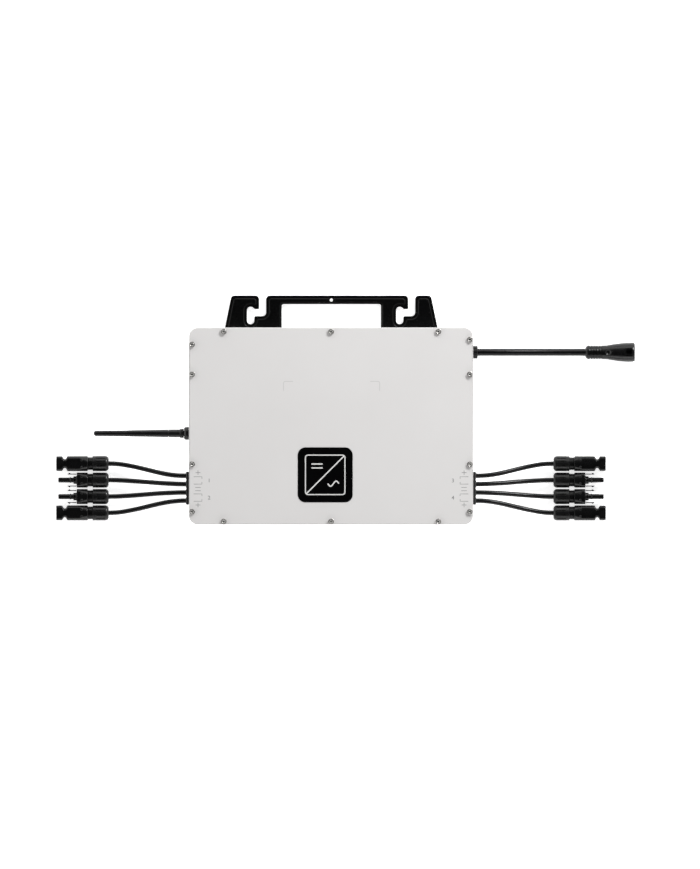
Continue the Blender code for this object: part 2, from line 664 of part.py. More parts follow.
def connector_back(name, material):
    """The ribbed gland nut and the waist that both kinds of connector share."""
    waist_end = NUT_LENGTH + WAIST_LENGTH
    slope = NUT_RADIUS - WAIST_RADIUS
    return turned_along_x(name, [
        (0, 0), (0, 4.4 * MM), (1.2 * MM, 6.3 * MM), (4.5 * MM, NUT_RADIUS), (NUT_LENGTH, NUT_RADIUS),
        (NUT_LENGTH + slope, WAIST_RADIUS), (waist_end + MM, WAIST_RADIUS), (waist_end + MM, 0),
    ], 14, 1, material)


def socket_connector_mesh(material):
    """The connector kind with an open mouth and side windows for the other kind's arms."""
    start = NUT_LENGTH + WAIST_LENGTH
    neck = start + SOCKET_BODY_LENGTH
    flange = neck + SOCKET_NECK_LENGTH
    tip = flange + SOCKET_FLANGE_LENGTH
    half_y, half_z = SOCKET_NECK_HALF
    entry_radius, entry_depth = SOCKET_ENTRY
    bore_radius, bore_depth = SOCKET_BORE
    connector = connector_back("dc_socket_connector", material)
    join(connector,
         bar_along_x("body", chamfered_square(BODY_HALF, 3.4 * MM), start, neck),
         boxes("neck", [((neck - MM, -half_y, -half_z), (flange + MM, half_y, half_z))]),
         bar_along_x("flange", chamfered_square(SOCKET_FLANGE_HALF, 3.0 * MM), flange, tip))
    mouth = turned_along_x("mouth", [
        (tip - bore_depth, 0), (tip - bore_depth, bore_radius), (tip - entry_depth, bore_radius),
        (tip - entry_depth, entry_radius), (tip + MM, entry_radius), (tip + MM, 0)], 12)
    slot_y, slot_half_y, slot_half_z = ARM_SLOT
    arm_slots = [((flange - MM, side * slot_y - slot_half_y, -slot_half_z),
                  (tip + MM, side * slot_y + slot_half_y, slot_half_z)) for side in (-1, 1)]
    cut(connector, mouth, boxes("arm_slots", arm_slots))
    return shared_mesh(connector)


def plug_connector_mesh(material):
    """The connector kind with a nose; its two snap arms are pieces of their own."""
    start = NUT_LENGTH + WAIST_LENGTH
    face = start + PLUG_BODY_LENGTH
    collar_radius, collar_length = PLUG_COLLAR
    nose_radius, nose_length = PLUG_NOSE
    connector = connector_back("dc_plug_connector", material)
    nose = turned_along_x("nose", [
        (face - MM, 0), (face - MM, collar_radius), (face + collar_length, collar_radius),
        (face + collar_length, nose_radius), (face + nose_length - 0.6 * MM, nose_radius),
        (face + nose_length, nose_radius - 0.5 * MM), (face + nose_length, 0)], 12)
    join(connector, bar_along_x("body", chamfered_square(BODY_HALF, 3.4 * MM), start, face), nose)
    return shared_mesh(connector)


def snap_arm_mesh(material):
    """An arm that points along +X from its root, with its barb towards +Y; origin on its hinge."""
    half = ARM_THICKNESS / 2
    outline = [(-half, -half), (ARM_LENGTH - half, -half), (ARM_LENGTH - half, 0),
               (ARM_LENGTH - 2.4 * MM, half + ARM_BARB), (ARM_LENGTH - 2.8 * MM, half + ARM_BARB),
               (ARM_LENGTH - 2.8 * MM, half), (-half, half)]
    return shared_mesh(plate("snap_arm", [outline], -ARM_WIDTH / 2, ARM_WIDTH / 2, material))


def module_leads(plug_material, socket_material, arm_material, cable_material):
    sockets = socket_connector_mesh(socket_material)
    plugs = plug_connector_mesh(plug_material)
    arms = snap_arm_mesh(arm_material)
    axis_z = BODY_HALF + RESTING_GAP
    root_x = DC_CONNECTOR_X + NUT_LENGTH + WAIST_LENGTH + PLUG_BODY_LENGTH + GAP + ARM_THICKNESS / 2
    for side, direction in (("left", -1), ("right", 1)):
        facing = Euler((0, 0, 0 if direction > 0 else math.pi))
        for line, (route, y) in enumerate(zip(DC_ROUTES, DC_AXIS_Y), 1):
            route = [(direction * x, route_y, z) for x, route_y, z in route]
            tube(f"dc_cable_{side}_{line}", smooth_route(route, 9), DC_CABLE_RADIUS, cable_material)
            is_socket = line in SOCKET_LINES
            connector = add_object(f"dc_connector_{side}_{line}", sockets if is_socket else plugs)
            connector.location = (direction * DC_CONNECTOR_X, y, axis_z)
            connector.rotation_euler = facing
            if is_socket:
                continue
            for place, up in (("upper", 1), ("lower", -1)):
                arm = add_object(f"snap_arm_{side}_{line}_{place}", arms)
                arm.location = (direction * root_x, y + up * ARM_OFFSET, axis_z)
                flip = Matrix.Rotation(0 if up * direction > 0 else math.pi, 3, "X")
                arm.rotation_euler = (facing.to_matrix() @ flip).to_euler()


# --- Circuit board and what it carries ------------------------------------------------------


def electronics(board_material, core_material, choke_material, relay_material, can_material):
    half_x, half_y = BOARD_HALF
    outline = rounded_rectangle(2 * half_x, 2 * half_y, 4 * MM, 2)
    plate("main_circuit_board", [outline], *BOARD_Z, board_material)
    core_x, core_y, core_height = TRANSFORMER_CORE
    for number, (x, y) in enumerate(TRANSFORMER_PLACES, 1):
        core = boxes(f"power_transformer_{number}",
                     [((x - core_x, y - core_y, PARTS_Z), (x + core_x, y + core_y, PARTS_Z + core_height))],
                     core_material)
        bevel(core, MM)
        join(core, cylinders(f"winding_{number}", [(x, y)], WINDING_RADIUS, PARTS_Z + 2 * MM,
                             PARTS_Z + 9 * MM, 16))
    ring_radius, wire_radius = CHOKE_RADII
    bpy.ops.mesh.primitive_torus_add(major_segments=18, minor_segments=8, major_radius=ring_radius,
                                     minor_radius=wire_radius,
                                     location=(*CHOKE_PLACE, PARTS_Z + wire_radius + 0.1 * MM))
    choke = bpy.context.object
    choke.name = "output_choke"
    choke.data.materials.append(choke_material)
    for collection in choke.users_collection:
        collection.objects.unlink(choke)
    bpy.data.collections[OBJECT_COLLECTION].objects.link(choke)
    low, high = RELAY_BOX
    relay = boxes("grid_relay", [((*low, PARTS_Z), (*high, PARTS_Z + RELAY_HEIGHT))], relay_material)
    bevel(relay, 0.8 * MM)
    low, high = CAPACITOR_BASE
    bank = boxes("capacitor_bank", [((*low, PARTS_Z), (*high, PARTS_Z + 2 * MM))], can_material)
    join(bank, cylinders("cans", CAPACITOR_PLACES, CAPACITOR_RADIUS, PARTS_Z + MM,
                         PARTS_Z + CAPACITOR_HEIGHT, 12))


# --- Assembly -----------------------------------------------------------------------------


def main():
    clear_scene()
    black_plastic = principled("black_moulded_plastic", (0.018, 0.018, 0.019), 0.42)
    cable_black = principled("cable_jacket", (0.014, 0.014, 0.015), 0.48)
    screw_steel = principled("screw_steel", (0.62, 0.61, 0.58), 0.28, 1.0)
    rear_housing(principled("cast_aluminium", (0.68, 0.67, 0.65), 0.42, 0.6))
    front_cover(principled("painted_cover", (0.72, 0.71, 0.70), 0.45))
    cover_gasket(principled("seal_silicone", (0.03, 0.03, 0.03), 0.7))
    cover_screws(screw_steel)
    mounting_bracket(principled("bracket_coating", (0.008, 0.008, 0.009), 0.38, 0.2))
    bracket_screws(principled("bracket_screw_steel", (0.5, 0.5, 0.48), 0.35, 1.0))
    antenna(principled("antenna_metal", (0.35, 0.35, 0.34), 0.35, 1.0),
            principled("antenna_sheath", (0.02, 0.02, 0.021), 0.5))
    mains_lead(principled("gland_plastic", (0.02, 0.02, 0.02), 0.45), cable_black,
               principled("mains_connector_plastic", (0.022, 0.022, 0.023), 0.4))
    dc_grommets(principled("grommet_rubber", (0.025, 0.025, 0.026), 0.6))
    module_leads(black_plastic, principled("socket_plastic", (0.018, 0.018, 0.019), 0.4),
                 principled("arm_plastic", (0.03, 0.03, 0.03), 0.45), cable_black)
    electronics(principled("board_laminate", (0.02, 0.12, 0.05), 0.5),
                principled("ferrite", (0.05, 0.05, 0.055), 0.6),
                principled("choke_winding", (0.55, 0.22, 0.08), 0.4, 0.8),
                principled("relay_case", (0.02, 0.03, 0.05), 0.45),
                principled("capacitor_sleeve", (0.03, 0.03, 0.04), 0.4))


main()
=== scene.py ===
"""Looks of the panel-level solar inverter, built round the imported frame.

Units are metres and the axes are the frame's: +Z out of the front cover, +Y towards the
mounting bracket, +X towards the mains lead. Lengths in the comments are in millimetres.
"""

import json
import math
import random

import bmesh
import bpy
from mathutils import Matrix, Vector


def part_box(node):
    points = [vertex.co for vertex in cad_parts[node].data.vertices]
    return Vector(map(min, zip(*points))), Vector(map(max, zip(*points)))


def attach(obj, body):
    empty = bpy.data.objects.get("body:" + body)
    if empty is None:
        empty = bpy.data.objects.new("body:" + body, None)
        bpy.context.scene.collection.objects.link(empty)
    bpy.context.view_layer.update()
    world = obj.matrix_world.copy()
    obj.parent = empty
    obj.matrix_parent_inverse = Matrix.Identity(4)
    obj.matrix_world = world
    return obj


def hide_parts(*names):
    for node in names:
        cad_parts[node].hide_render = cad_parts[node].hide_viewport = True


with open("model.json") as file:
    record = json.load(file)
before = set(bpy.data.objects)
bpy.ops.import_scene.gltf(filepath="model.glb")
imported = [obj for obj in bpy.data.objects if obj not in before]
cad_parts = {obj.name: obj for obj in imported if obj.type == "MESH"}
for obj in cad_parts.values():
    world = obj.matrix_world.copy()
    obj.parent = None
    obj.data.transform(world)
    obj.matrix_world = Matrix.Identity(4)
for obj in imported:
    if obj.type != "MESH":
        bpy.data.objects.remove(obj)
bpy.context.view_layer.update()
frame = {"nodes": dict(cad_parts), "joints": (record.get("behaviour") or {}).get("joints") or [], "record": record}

MM = 0.001
WELD = 0.001 * MM
SHARP_ANGLE = math.radians(32)
SIDES = (("left", -1), ("right", 1))
LINES = (1, 2, 3, 4)
SOCKET_LINES = (1, 4)
HOUSING = "housing"

COVER_LOW, COVER_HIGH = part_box("front_cover")
WIDTH = COVER_HIGH.x - COVER_LOW.x
HEIGHT = COVER_HIGH.y - COVER_LOW.y
SIDE = COVER_HIGH.x
EXIT_Z = 21.5 * MM
CORNER_RADIUS = 10.5 * MM


def middle(node):
    low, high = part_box(node)
    return (low + high) / 2


def linked(name, data):
    obj = bpy.data.objects.new(name, data)
    bpy.context.scene.collection.objects.link(obj)
    return obj


def as_mesh(name, shape):
    """A mesh made from a bmesh, which is freed."""
    mesh = bpy.data.meshes.new(name)
    shape.to_mesh(mesh)
    shape.free()
    return mesh


# --- Camera, light and floor ---


VIEW_SCALE = 1.0124
VIEW_PLACE = (0.0221, -0.0099, 1.5)
# Name, place, size and watts of each softbox; all of them face the middle of the housing
SOFTBOXES = (
    ("key", (1.2, 1.6, 1.3), (0.7, 0.5), 54.0),
    ("fill_left", (-2.1, -0.2, 1.1), (1.6, 0.7), 8.0),
    ("fill_front", (0.3, -2.2, 1.0), (1.8, 0.6), 7.0),
    ("fill_back", (-0.4, 2.3, 1.0), (1.8, 0.6), 6.0),
)
# Brightness of the dome by height: pale round the sides, dark overhead so that blacks stay black
DOME_STRENGTH = 1.6
DOME_LEVELS = ((0.0, 0.72), (0.20, 1.0), (0.45, 1.0), (0.72, 0.008))
FLOOR_HALF = 4.0


def make_camera():
    """Straight down onto the cover, as the object is shown, a little right of its middle."""
    data = bpy.data.cameras.new("camera")
    data.type = "ORTHO"
    data.ortho_scale = VIEW_SCALE
    camera = linked("camera", data)
    camera.location = VIEW_PLACE
    bpy.context.scene.camera = camera


def make_lights():
    """A key softbox low in the upper right, fills round the table and a pale dome."""
    for name, place, size, watts in SOFTBOXES:
        data = bpy.data.lights.new(name, "AREA")
        data.shape = "RECTANGLE"
        data.size, data.size_y = size
        data.energy = watts
        lamp = linked(name, data)
        lamp.location = place
        lamp.rotation_euler = (-Vector(place)).to_track_quat("-Z", "Y").to_euler()
    world = bpy.data.worlds.new("studio")
    world.use_nodes = True
    tree = world.node_tree
    background = tree.nodes["Background"]
    background.inputs["Strength"].default_value = DOME_STRENGTH
    place = tree.nodes.new("ShaderNodeTexCoord")
    split = tree.nodes.new("ShaderNodeSeparateXYZ")
    ramp = tree.nodes.new("ShaderNodeValToRGB")
    tree.links.new(place.outputs["Generated"], split.inputs["Vector"])
    tree.links.new(split.outputs["Z"], ramp.inputs["Fac"])
    tree.links.new(ramp.outputs["Color"], background.inputs["Color"])
    stops = ramp.color_ramp.elements
    for position, _ in DOME_LEVELS[1:-1]:
        stops.new(position)
    for stop, (position, level) in zip(stops, DOME_LEVELS):
        stop.position = position
        stop.color = (level, level, level, 1.0)
    bpy.context.scene.world = world
    bpy.context.scene.view_settings.view_transform = "Standard"


def make_floor(material):
    shape = bmesh.new()
    bmesh.ops.create_grid(shape, x_segments=2, y_segments=2, size=FLOOR_HALF)
    mesh = as_mesh("floor", shape)
    mesh.materials.append(material)
    linked("floor", mesh)


# --- Materials ---


# Sockets of a Mix node in its colour form
MIX_FACTOR, MIX_FIRST, MIX_SECOND, MIX_RESULT = 0, 6, 7, 2
# How far the rounded normal has turned from the true one, as a cosine, from no edge to full edge
EDGE_COSINES = (0.97, 0.80)
BROKEN_UP = (0.42, 0.62)


class Look:
    """A Principled material that is built up one feature at a time, in object coordinates."""

    def __init__(self, name, metallic=0.0, specular=0.5, coat=0.0, coat_roughness=0.1, sheen=0.0):
        self.material = bpy.data.materials.new(name)
        self.material.use_nodes = True
        self.tree = self.material.node_tree
        self.shader = self.tree.nodes["Principled BSDF"]
        self.place = self.add("TexCoord").outputs["Object"]
        self.normal = None
        for socket, value in (("Metallic", metallic), ("Specular IOR Level", specular),
                              ("Coat Weight", coat), ("Coat Roughness", coat_roughness),
                              ("Sheen Weight", sheen)):
            self.shader.inputs[socket].default_value = value

    def add(self, kind, sockets=(), **settings):
        """A new node; sockets pairs its inputs with links, colours or values."""
        node = self.tree.nodes.new("ShaderNode" + kind)
        for key, value in settings.items():
            setattr(node, key, value)
        for key, value in sockets:
            self.feed(node.inputs[key], value)
        return node

    def feed(self, socket, value):
        if isinstance(value, bpy.types.NodeSocket):
            self.tree.links.new(value, socket)
        elif isinstance(value, tuple):
            socket.default_value = (*value, 1.0)
        else:
            socket.default_value = value

    def stretched(self, stretch):
        mapping = self.add("Mapping", [("Vector", self.place)])
        mapping.inputs["Scale"].default_value = stretch
        return mapping.outputs["Vector"]

    def noise(self, size, detail=3.0, stretch=None):
        """Cloudy noise from 0 to 1 whose features are about size metres across."""
        place = self.stretched(stretch) if stretch else self.place
        sockets = [("Vector", place), ("Scale", 1.0 / size), ("Detail", detail)]
        return self.add("TexNoise", sockets).outputs["Fac"]

    def cells(self, size, feature="F1"):
        sockets = [("Vector", self.place), ("Scale", 1.0 / size)]
        return self.add("TexVoronoi", sockets, feature=feature).outputs["Distance"]

    def bands(self, size, direction="X", kind="BANDS", distortion=0.0):
        """Even stripes or rings, one every size metres."""
        axis = {kind.lower() + "_direction": direction}
        sockets = [("Vector", self.place), ("Scale", math.pi / 10 / size),
                   ("Distortion", distortion)]
        return self.add("TexWave", sockets, wave_type=kind, **axis).outputs["Fac"]

    def span(self, value, low, high, to_low=0.0, to_high=1.0):
        """A value taken from one range to another."""
        return self.add("MapRange", enumerate((value, low, high, to_low, to_high))).outputs["Result"]

    def times(self, first, second):
        sockets = enumerate((first, second))
        return self.add("Math", sockets, operation="MULTIPLY").outputs["Value"]

    def mix(self, factor, first, second):
        sockets = [(MIX_FACTOR, factor), (MIX_FIRST, first), (MIX_SECOND, second)]
        return self.add("Mix", sockets, data_type="RGBA").outputs[MIX_RESULT]

    def edges(self, radius, breakup=1.5 * MM):
        """1 along rounded-over edges, broken up by noise, and 0 on open faces."""
        bevel = self.add("Bevel", [("Radius", radius)], samples=4).outputs["Normal"]
        normal = self.add("NewGeometry").outputs["True Normal"]
        dot = self.add("VectorMath", enumerate((bevel, normal)), operation="DOT_PRODUCT")
        rounded = self.span(dot.outputs["Value"], *EDGE_COSINES)
        return self.times(rounded, self.span(self.noise(breakup), *BROKEN_UP))

    def relief(self, height, depth):
        """Bump of the given depth in metres, on top of what is there already."""
        bump = self.add("Bump", [("Distance", depth), ("Height", height)])
        if self.normal:
            self.feed(bump.inputs["Normal"], self.normal)
        self.normal = bump.outputs["Normal"]

    def finish(self, colour, roughness):
        self.feed(self.shader.inputs["Base Color"], colour)
        self.feed(self.shader.inputs["Roughness"], roughness)
        if self.normal:
            self.feed(self.shader.inputs["Normal"], self.normal)
        return self.material


def floor_look():
    look = Look("studio_floor", specular=0.1)
    look.shader.inputs["Emission Color"].default_value = (1.0, 1.0, 1.0, 1.0)
    look.shader.inputs["Emission Strength"].default_value = 0.75
    look.relief(look.noise(6 * MM), 0.05 * MM)
    cloud = look.noise(0.4)
    colour = look.mix(cloud, (0.93, 0.93, 0.93), (0.96, 0.96, 0.96))
    return look.finish(colour, look.span(cloud, 0, 1, 0.75, 0.9))


def cover_look():
    """Light grey powder coat: fine orange peel, a faint cloudiness and rubbed edges."""
    look = Look("powder_coat", specular=0.25)
    peel = look.noise(1.1 * MM, 2.0)
    speck = look.noise(0.35 * MM, 2.0)
    look.relief(peel, 0.018 * MM)
    look.relief(speck, 0.006 * MM)
    cloud = look.noise(70 * MM, 4.0)
    colour = look.mix(cloud, (0.578, 0.566, 0.560), (0.610, 0.602, 0.597))
    colour = look.mix(look.span(speck, 0.62, 0.75, 0, 0.3), colour, (0.52, 0.515, 0.51))
    colour = look.mix(look.times(look.edges(0.5 * MM), 0.35), colour, (0.74, 0.74, 0.735))
    return look.finish(colour, look.span(peel, 0.3, 0.7, 0.52, 0.66))


def cast_look():
    """Bead-blasted die casting: pitted skin, flow marks and bright edges."""
    look = Look("die_cast_aluminium", metallic=0.72)
    skin = look.noise(1.6 * MM, 5.0)
    pits = look.span(look.cells(2.6 * MM), 0.0, 0.22)
    look.relief(skin, 0.07 * MM)
    look.relief(pits, 0.03 * MM)
    flow = look.noise(24 * MM, 4.0, (1.0, 1.0, 3.0))
    colour = look.mix(flow, (0.52, 0.515, 0.505), (0.66, 0.655, 0.645))
    colour = look.mix(look.edges(0.6 * MM), colour, (0.78, 0.775, 0.765))
    return look.finish(colour, look.span(skin, 0.3, 0.7, 0.38, 0.58))


def screw_look(name, colour, darker):
    """Plated steel with turning marks round the head and patches of a darker tone."""
    look = Look(name, metallic=1.0)
    marks = look.bands(0.22 * MM, "Z", "RINGS", 0.6)
    wear = look.noise(0.9 * MM, 4.0)
    look.relief(marks, 0.008 * MM)
    look.relief(wear, 0.012 * MM)
    shade = look.mix(look.span(wear, 0.35, 0.65), darker, colour)
    return look.finish(shade, look.span(marks, 0, 1, 0.20, 0.34))


def bracket_look():
    """Black dip coat with a soft orange peel, greyer where it has been rubbed."""
    look = Look("black_dip_coat", specular=0.15)
    peel = look.noise(1.4 * MM, 3.0)
    look.relief(peel, 0.03 * MM)
    look.relief(look.noise(0.4 * MM), 0.008 * MM)
    cloud = look.noise(30 * MM, 4.0)
    colour = look.mix(cloud, (0.0008, 0.0008, 0.0009), (0.0022, 0.0022, 0.0023))
    colour = look.mix(look.edges(0.5 * MM, 3 * MM), colour, (0.012, 0.012, 0.0125))
    return look.finish(colour, look.span(peel, 0.3, 0.7, 0.26, 0.38))


def moulded_look(name, dark, light, roughness, grain=0.45 * MM, depth=0.005 * MM, rub=0.05):
    """Moulded black plastic: spark texture, cloudy gloss and lighter rubbed edges."""
    look = Look(name, specular=0.3)
    texture = look.noise(grain, 3.0)
    look.relief(texture, depth)
    look.relief(look.noise(3.0 * MM), 0.012 * MM)
    cloud = look.noise(9 * MM, 3.0)
    colour = look.mix(cloud, (dark, dark, dark * 1.05), (light, light, light * 1.05))
    colour = look.mix(look.edges(0.3 * MM), colour, (rub, rub, rub))
    low, high = roughness
    return look.finish(colour, look.span(cloud, 0.3, 0.7, low, high))


def cable_look():
    """Extruded jacket: fine die lines along the lead, a satin skin and some dust."""
    look = Look("cable_jacket", specular=0.3)
    lines = look.noise(0.5 * MM, 2.0, (0.06, 1.0, 1.0))
    look.relief(lines, 0.008 * MM)
    look.relief(look.noise(0.3 * MM), 0.003 * MM)
    dust = look.span(look.noise(7 * MM, 6.0), 0.55, 0.75, 0.0, 0.5)
    colour = look.mix(dust, (0.0018, 0.0018, 0.002), (0.0065, 0.0065, 0.0065))
    return look.finish(colour, look.span(lines, 0.3, 0.7, 0.24, 0.36))


def rubber_look():
    look = Look("moulded_rubber", specular=0.35, sheen=0.15)
    look.relief(look.noise(0.5 * MM, 4.0), 0.02 * MM)
    bloom = look.span(look.noise(5 * MM, 5.0), 0.45, 0.75)
    colour = look.mix(bloom, (0.0025, 0.0025, 0.0025), (0.008, 0.0078, 0.0077))
    return look.finish(colour, look.span(bloom, 0, 1, 0.55, 0.75))


def contact_look():
    """Tinned contact metal with drawing lines."""
    look = Look("tinned_contact", metallic=1.0)
    lines = look.noise(0.25 * MM, 2.0, (0.1, 1.0, 1.0))
    look.relief(lines, 0.006 * MM)
    colour = look.mix(lines, (0.55, 0.53, 0.48), (0.74, 0.72, 0.67))
    return look.finish(colour, look.span(lines, 0, 1, 0.18, 0.32))


def badge_look():
    """Printed vinyl: an even black with a fine pebble in its clear layer."""
    look = Look("badge_vinyl", specular=0.08, coat=0.02, coat_roughness=0.2)
    pebble = look.cells(0.5 * MM)
    look.relief(pebble, 0.012 * MM)
    cloud = look.noise(14 * MM)
    colour = look.mix(cloud, (0.0007, 0.0007, 0.0008), (0.0018, 0.0018, 0.0019))
    return look.finish(colour, look.span(cloud, 0, 1, 0.24, 0.34))


def ink_look(name, colour, worn):
    look = Look(name, specular=0.3)
    fleck = look.noise(0.5 * MM, 4.0)
    look.relief(fleck, 0.01 * MM)
    return look.finish(look.mix(look.span(fleck, 0.55, 0.7), colour, worn),
                       look.span(fleck, 0, 1, 0.5, 0.65))


def board_look():
    """Green solder resist over copper tracks, with tinned rows where parts are soldered."""
    look = Look("circuit_board", specular=0.5, coat=0.25, coat_roughness=0.2)
    tracks = look.span(look.cells(6 * MM, "DISTANCE_TO_EDGE"), 0.02, 0.06)
    pads = look.span(look.cells(3.2 * MM), 0.10, 0.14)
    look.relief(tracks, -0.05 * MM)
    colour = look.mix(tracks, (0.03, 0.20, 0.07), (0.012, 0.10, 0.035))
    colour = look.mix(pads, (0.62, 0.60, 0.55), colour)
    return look.finish(colour, look.span(pads, 0, 1, 0.25, 0.45))


def ferrite_look():
    """Ground ferrite: a granular dark grey with chipped, lighter specks."""
    look = Look("ferrite", specular=0.45)
    grain = look.cells(0.8 * MM)
    look.relief(grain, 0.04 * MM)
    chips = look.span(look.noise(1.2 * MM, 4.0), 0.6, 0.72)
    return look.finish(look.mix(chips, (0.035, 0.035, 0.038), (0.11, 0.11, 0.115)),
                       look.span(grain, 0, 0.6, 0.45, 0.7))


def winding_look():
    """Enamelled copper wire laid side by side, with painted shade in the grooves between turns and a painted
    highlight on their crowns.
    """
    look = Look("copper_winding", metallic=0.85)
    turns = look.bands(1.1 * MM, "DIAGONAL", distortion=0.4)
    look.relief(turns, 0.25 * MM)
    # The colour follows the bump: painted shade where the turns dip, painted highlight where they rise
    return look.finish(look.mix(turns, (0.28, 0.09, 0.03), (0.75, 0.34, 0.14)),
                       look.span(turns, 0, 1, 0.45, 0.24))


def case_look(name, colour, stripe):
    """A shiny component case or sleeve with shrink wrinkles and a paler stripe."""
    look = Look(name, specular=0.5, coat=0.2)
    wrinkles = look.noise(1.8 * MM, 4.0, (1.0, 1.0, 0.35))
    look.relief(wrinkles, 0.05 * MM)
    band = look.span(look.bands(18 * MM, "X"), 0.86, 0.92)
    return look.finish(look.mix(band, colour, stripe), look.span(wrinkles, 0.3, 0.7, 0.25, 0.45))


LOOKS = {
    "housing": cast_look(),
    "cover": cover_look(),
    "seal": rubber_look(),
    "screws": screw_look("plated_screw", (0.52, 0.51, 0.495), (0.27, 0.265, 0.255)),
    "bracket": bracket_look(),
    "bracket_screws": screw_look("zinc_screw", (0.50, 0.50, 0.48), (0.33, 0.33, 0.32)),
    "antenna_metal": moulded_look("black_nickel", 0.006, 0.012, (0.26, 0.38), 0.6 * MM, rub=0.05),
    "antenna_sheath": moulded_look("antenna_sheath", 0.0030, 0.0055, (0.24, 0.34), rub=0.02),
    "gland": moulded_look("gland_nylon", 0.0025, 0.0050, (0.26, 0.38), rub=0.02),
    "grommet": rubber_look(),
    "cable": cable_look(),
    "connector": moulded_look("connector_body", 0.0016, 0.0034, (0.20, 0.32), rub=0.014),
    "connector_arms": moulded_look("snap_arm_plastic", 0.0045, 0.008, (0.32, 0.44), rub=0.02),
    "board": board_look(),
    "ferrite": ferrite_look(),
    "copper": winding_look(),
    "relay": case_look("relay_case", (0.02, 0.05, 0.11), (0.25, 0.27, 0.30)),
    "capacitors": case_look("capacitor_sleeve", (0.018, 0.018, 0.028), (0.45, 0.45, 0.43)),
    "nut": moulded_look("gland_nut_plastic", 0.0024, 0.0050, (0.26, 0.38), 0.6 * MM, rub=0.02),
    "contact": contact_look(),
    "badge": badge_look(),
    "badge_ink": ink_look("badge_ink", (0.60, 0.60, 0.59), (0.50, 0.50, 0.49)),
    "mark": ink_look("pale_print", (0.47, 0.465, 0.46), (0.55, 0.545, 0.54)),
    "print": ink_look("cover_print", (0.23, 0.23, 0.23), (0.36, 0.36, 0.355)),
}


# --- Pieces ---


# A slot is called what its look is called, apart from these; what CAD leaves out has no slot
SLOTS = {"nut": "connector", **dict.fromkeys(("contact", "mark", "print", "badge", "badge_ink"))}


def piece(name, source, look, body=HOUSING, stands_for=(), place=None):
    """Makes one shown piece of the object from a bmesh, mesh or curve, and lets it ride."""
    data = as_mesh(name, source) if isinstance(source, bmesh.types.BMesh) else source
    is_mesh = isinstance(data, bpy.types.Mesh)
    if is_mesh:
        data.shade_smooth()
        data.set_sharp_from_angle(angle=SHARP_ANGLE)
    if not data.materials:
        data.materials.append(LOOKS[look])
    obj = linked(name, data)
    if is_mesh:
        weighted = obj.modifiers.new("flat_faces_stay_flat", "WEIGHTED_NORMAL")
        weighted.keep_sharp = True
    if place is not None:
        obj.matrix_world = place
    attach(obj, body)
    if stands_for:
        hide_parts(*stands_for)
    return obj


# --- Outlines, in metres ---


def in_metres(*points):
    return [tuple(value * MM for value in point) for point in points]


def from_x(start, *points):
    """The same points with their first value counted from start."""
    return [(start + x, *rest) for x, *rest in points]


def arc(centre, radius, start, end, steps):
    """Points on a circle from one angle to another, in degrees, both ends included."""
    angles = [math.radians(start + (end - start) * i / steps) for i in range(steps + 1)]
    return [(centre[0] + radius * math.cos(a), centre[1] + radius * math.sin(a)) for a in angles]


def circle(centre, radius, sides):
    return arc(centre, radius, 0, 360 * (sides - 1) / sides, sides - 1)


def rounded_rectangle(centre, width, height, radius, steps=8):
    outline = []
    for sign_x, sign_y, start in ((1, 1, 0), (-1, 1, 90), (-1, -1, 180), (1, -1, 270)):
        corner = (centre[0] + sign_x * (width / 2 - radius),
                  centre[1] + sign_y * (height / 2 - radius))
        outline += arc(corner, radius, start, start + 90, steps)
    return outline


def housing_outline(inset):
    radius = max(CORNER_RADIUS - inset, 2 * MM)
    return rounded_rectangle((0, 0), WIDTH - 2 * inset, HEIGHT - 2 * inset, radius, 10)


def filleted(points, radius, steps=3):
    """An open line or profile with each inner corner turned into a short curve."""
    result = [tuple(points[0])]
    for before, corner, after in zip(points, points[1:], points[2:]):
        before, corner, after = Vector(before), Vector(corner), Vector(after)
        back, ahead = before - corner, after - corner
        reach = min(radius, back.length * 0.45, ahead.length * 0.45)
        start = corner + back.normalized() * reach
        end = corner + ahead.normalized() * reach
        for i in range(steps + 1):
            t = i / steps
            result.append(tuple(start.lerp(corner, t).lerp(corner.lerp(end, t), t)))
    result.append(tuple(points[-1]))
    return result


# --- Solids ---


def cleaned(shape):
    bmesh.ops.remove_doubles(shape, verts=shape.verts, dist=WELD)
    bmesh.ops.dissolve_degenerate(shape, edges=shape.edges, dist=WELD)
    return shape


def as_bmesh(obj, *helpers):
    """The evaluated mesh of a temporary object, welded; the object and its helpers go."""
    bpy.context.view_layer.update()
    graph = bpy.context.evaluated_depsgraph_get()
    mesh = bpy.data.meshes.new_from_object(obj.evaluated_get(graph))
    shape = bmesh.new()
    shape.from_mesh(mesh)
    shape.transform(obj.matrix_world)
    bpy.data.meshes.remove(mesh)
    for used in (obj, *helpers):
        bpy.data.objects.remove(used, do_unlink=True)
    return cleaned(shape)


def combined(shape, joined=(), cut=()):
    """One clean solid: the shape with others joined to it and then others cut out of it."""
    base, *others = [linked("part", as_mesh("part", part)) for part in (shape, *joined, *cut)]
    for index, other in enumerate(others):
        modifier = base.modifiers.new("combine", "BOOLEAN")
        modifier.operation = "UNION" if index < len(joined) else "DIFFERENCE"
        modifier.object = other
    return as_bmesh(base, *others)


def gathered(shapes):
    """Several separate shapes as one bmesh."""
    whole = bmesh.new()
    for shape in shapes:
        mesh = as_mesh("part", shape)
        whole.from_mesh(mesh)
        bpy.data.meshes.remove(mesh)
    return whole


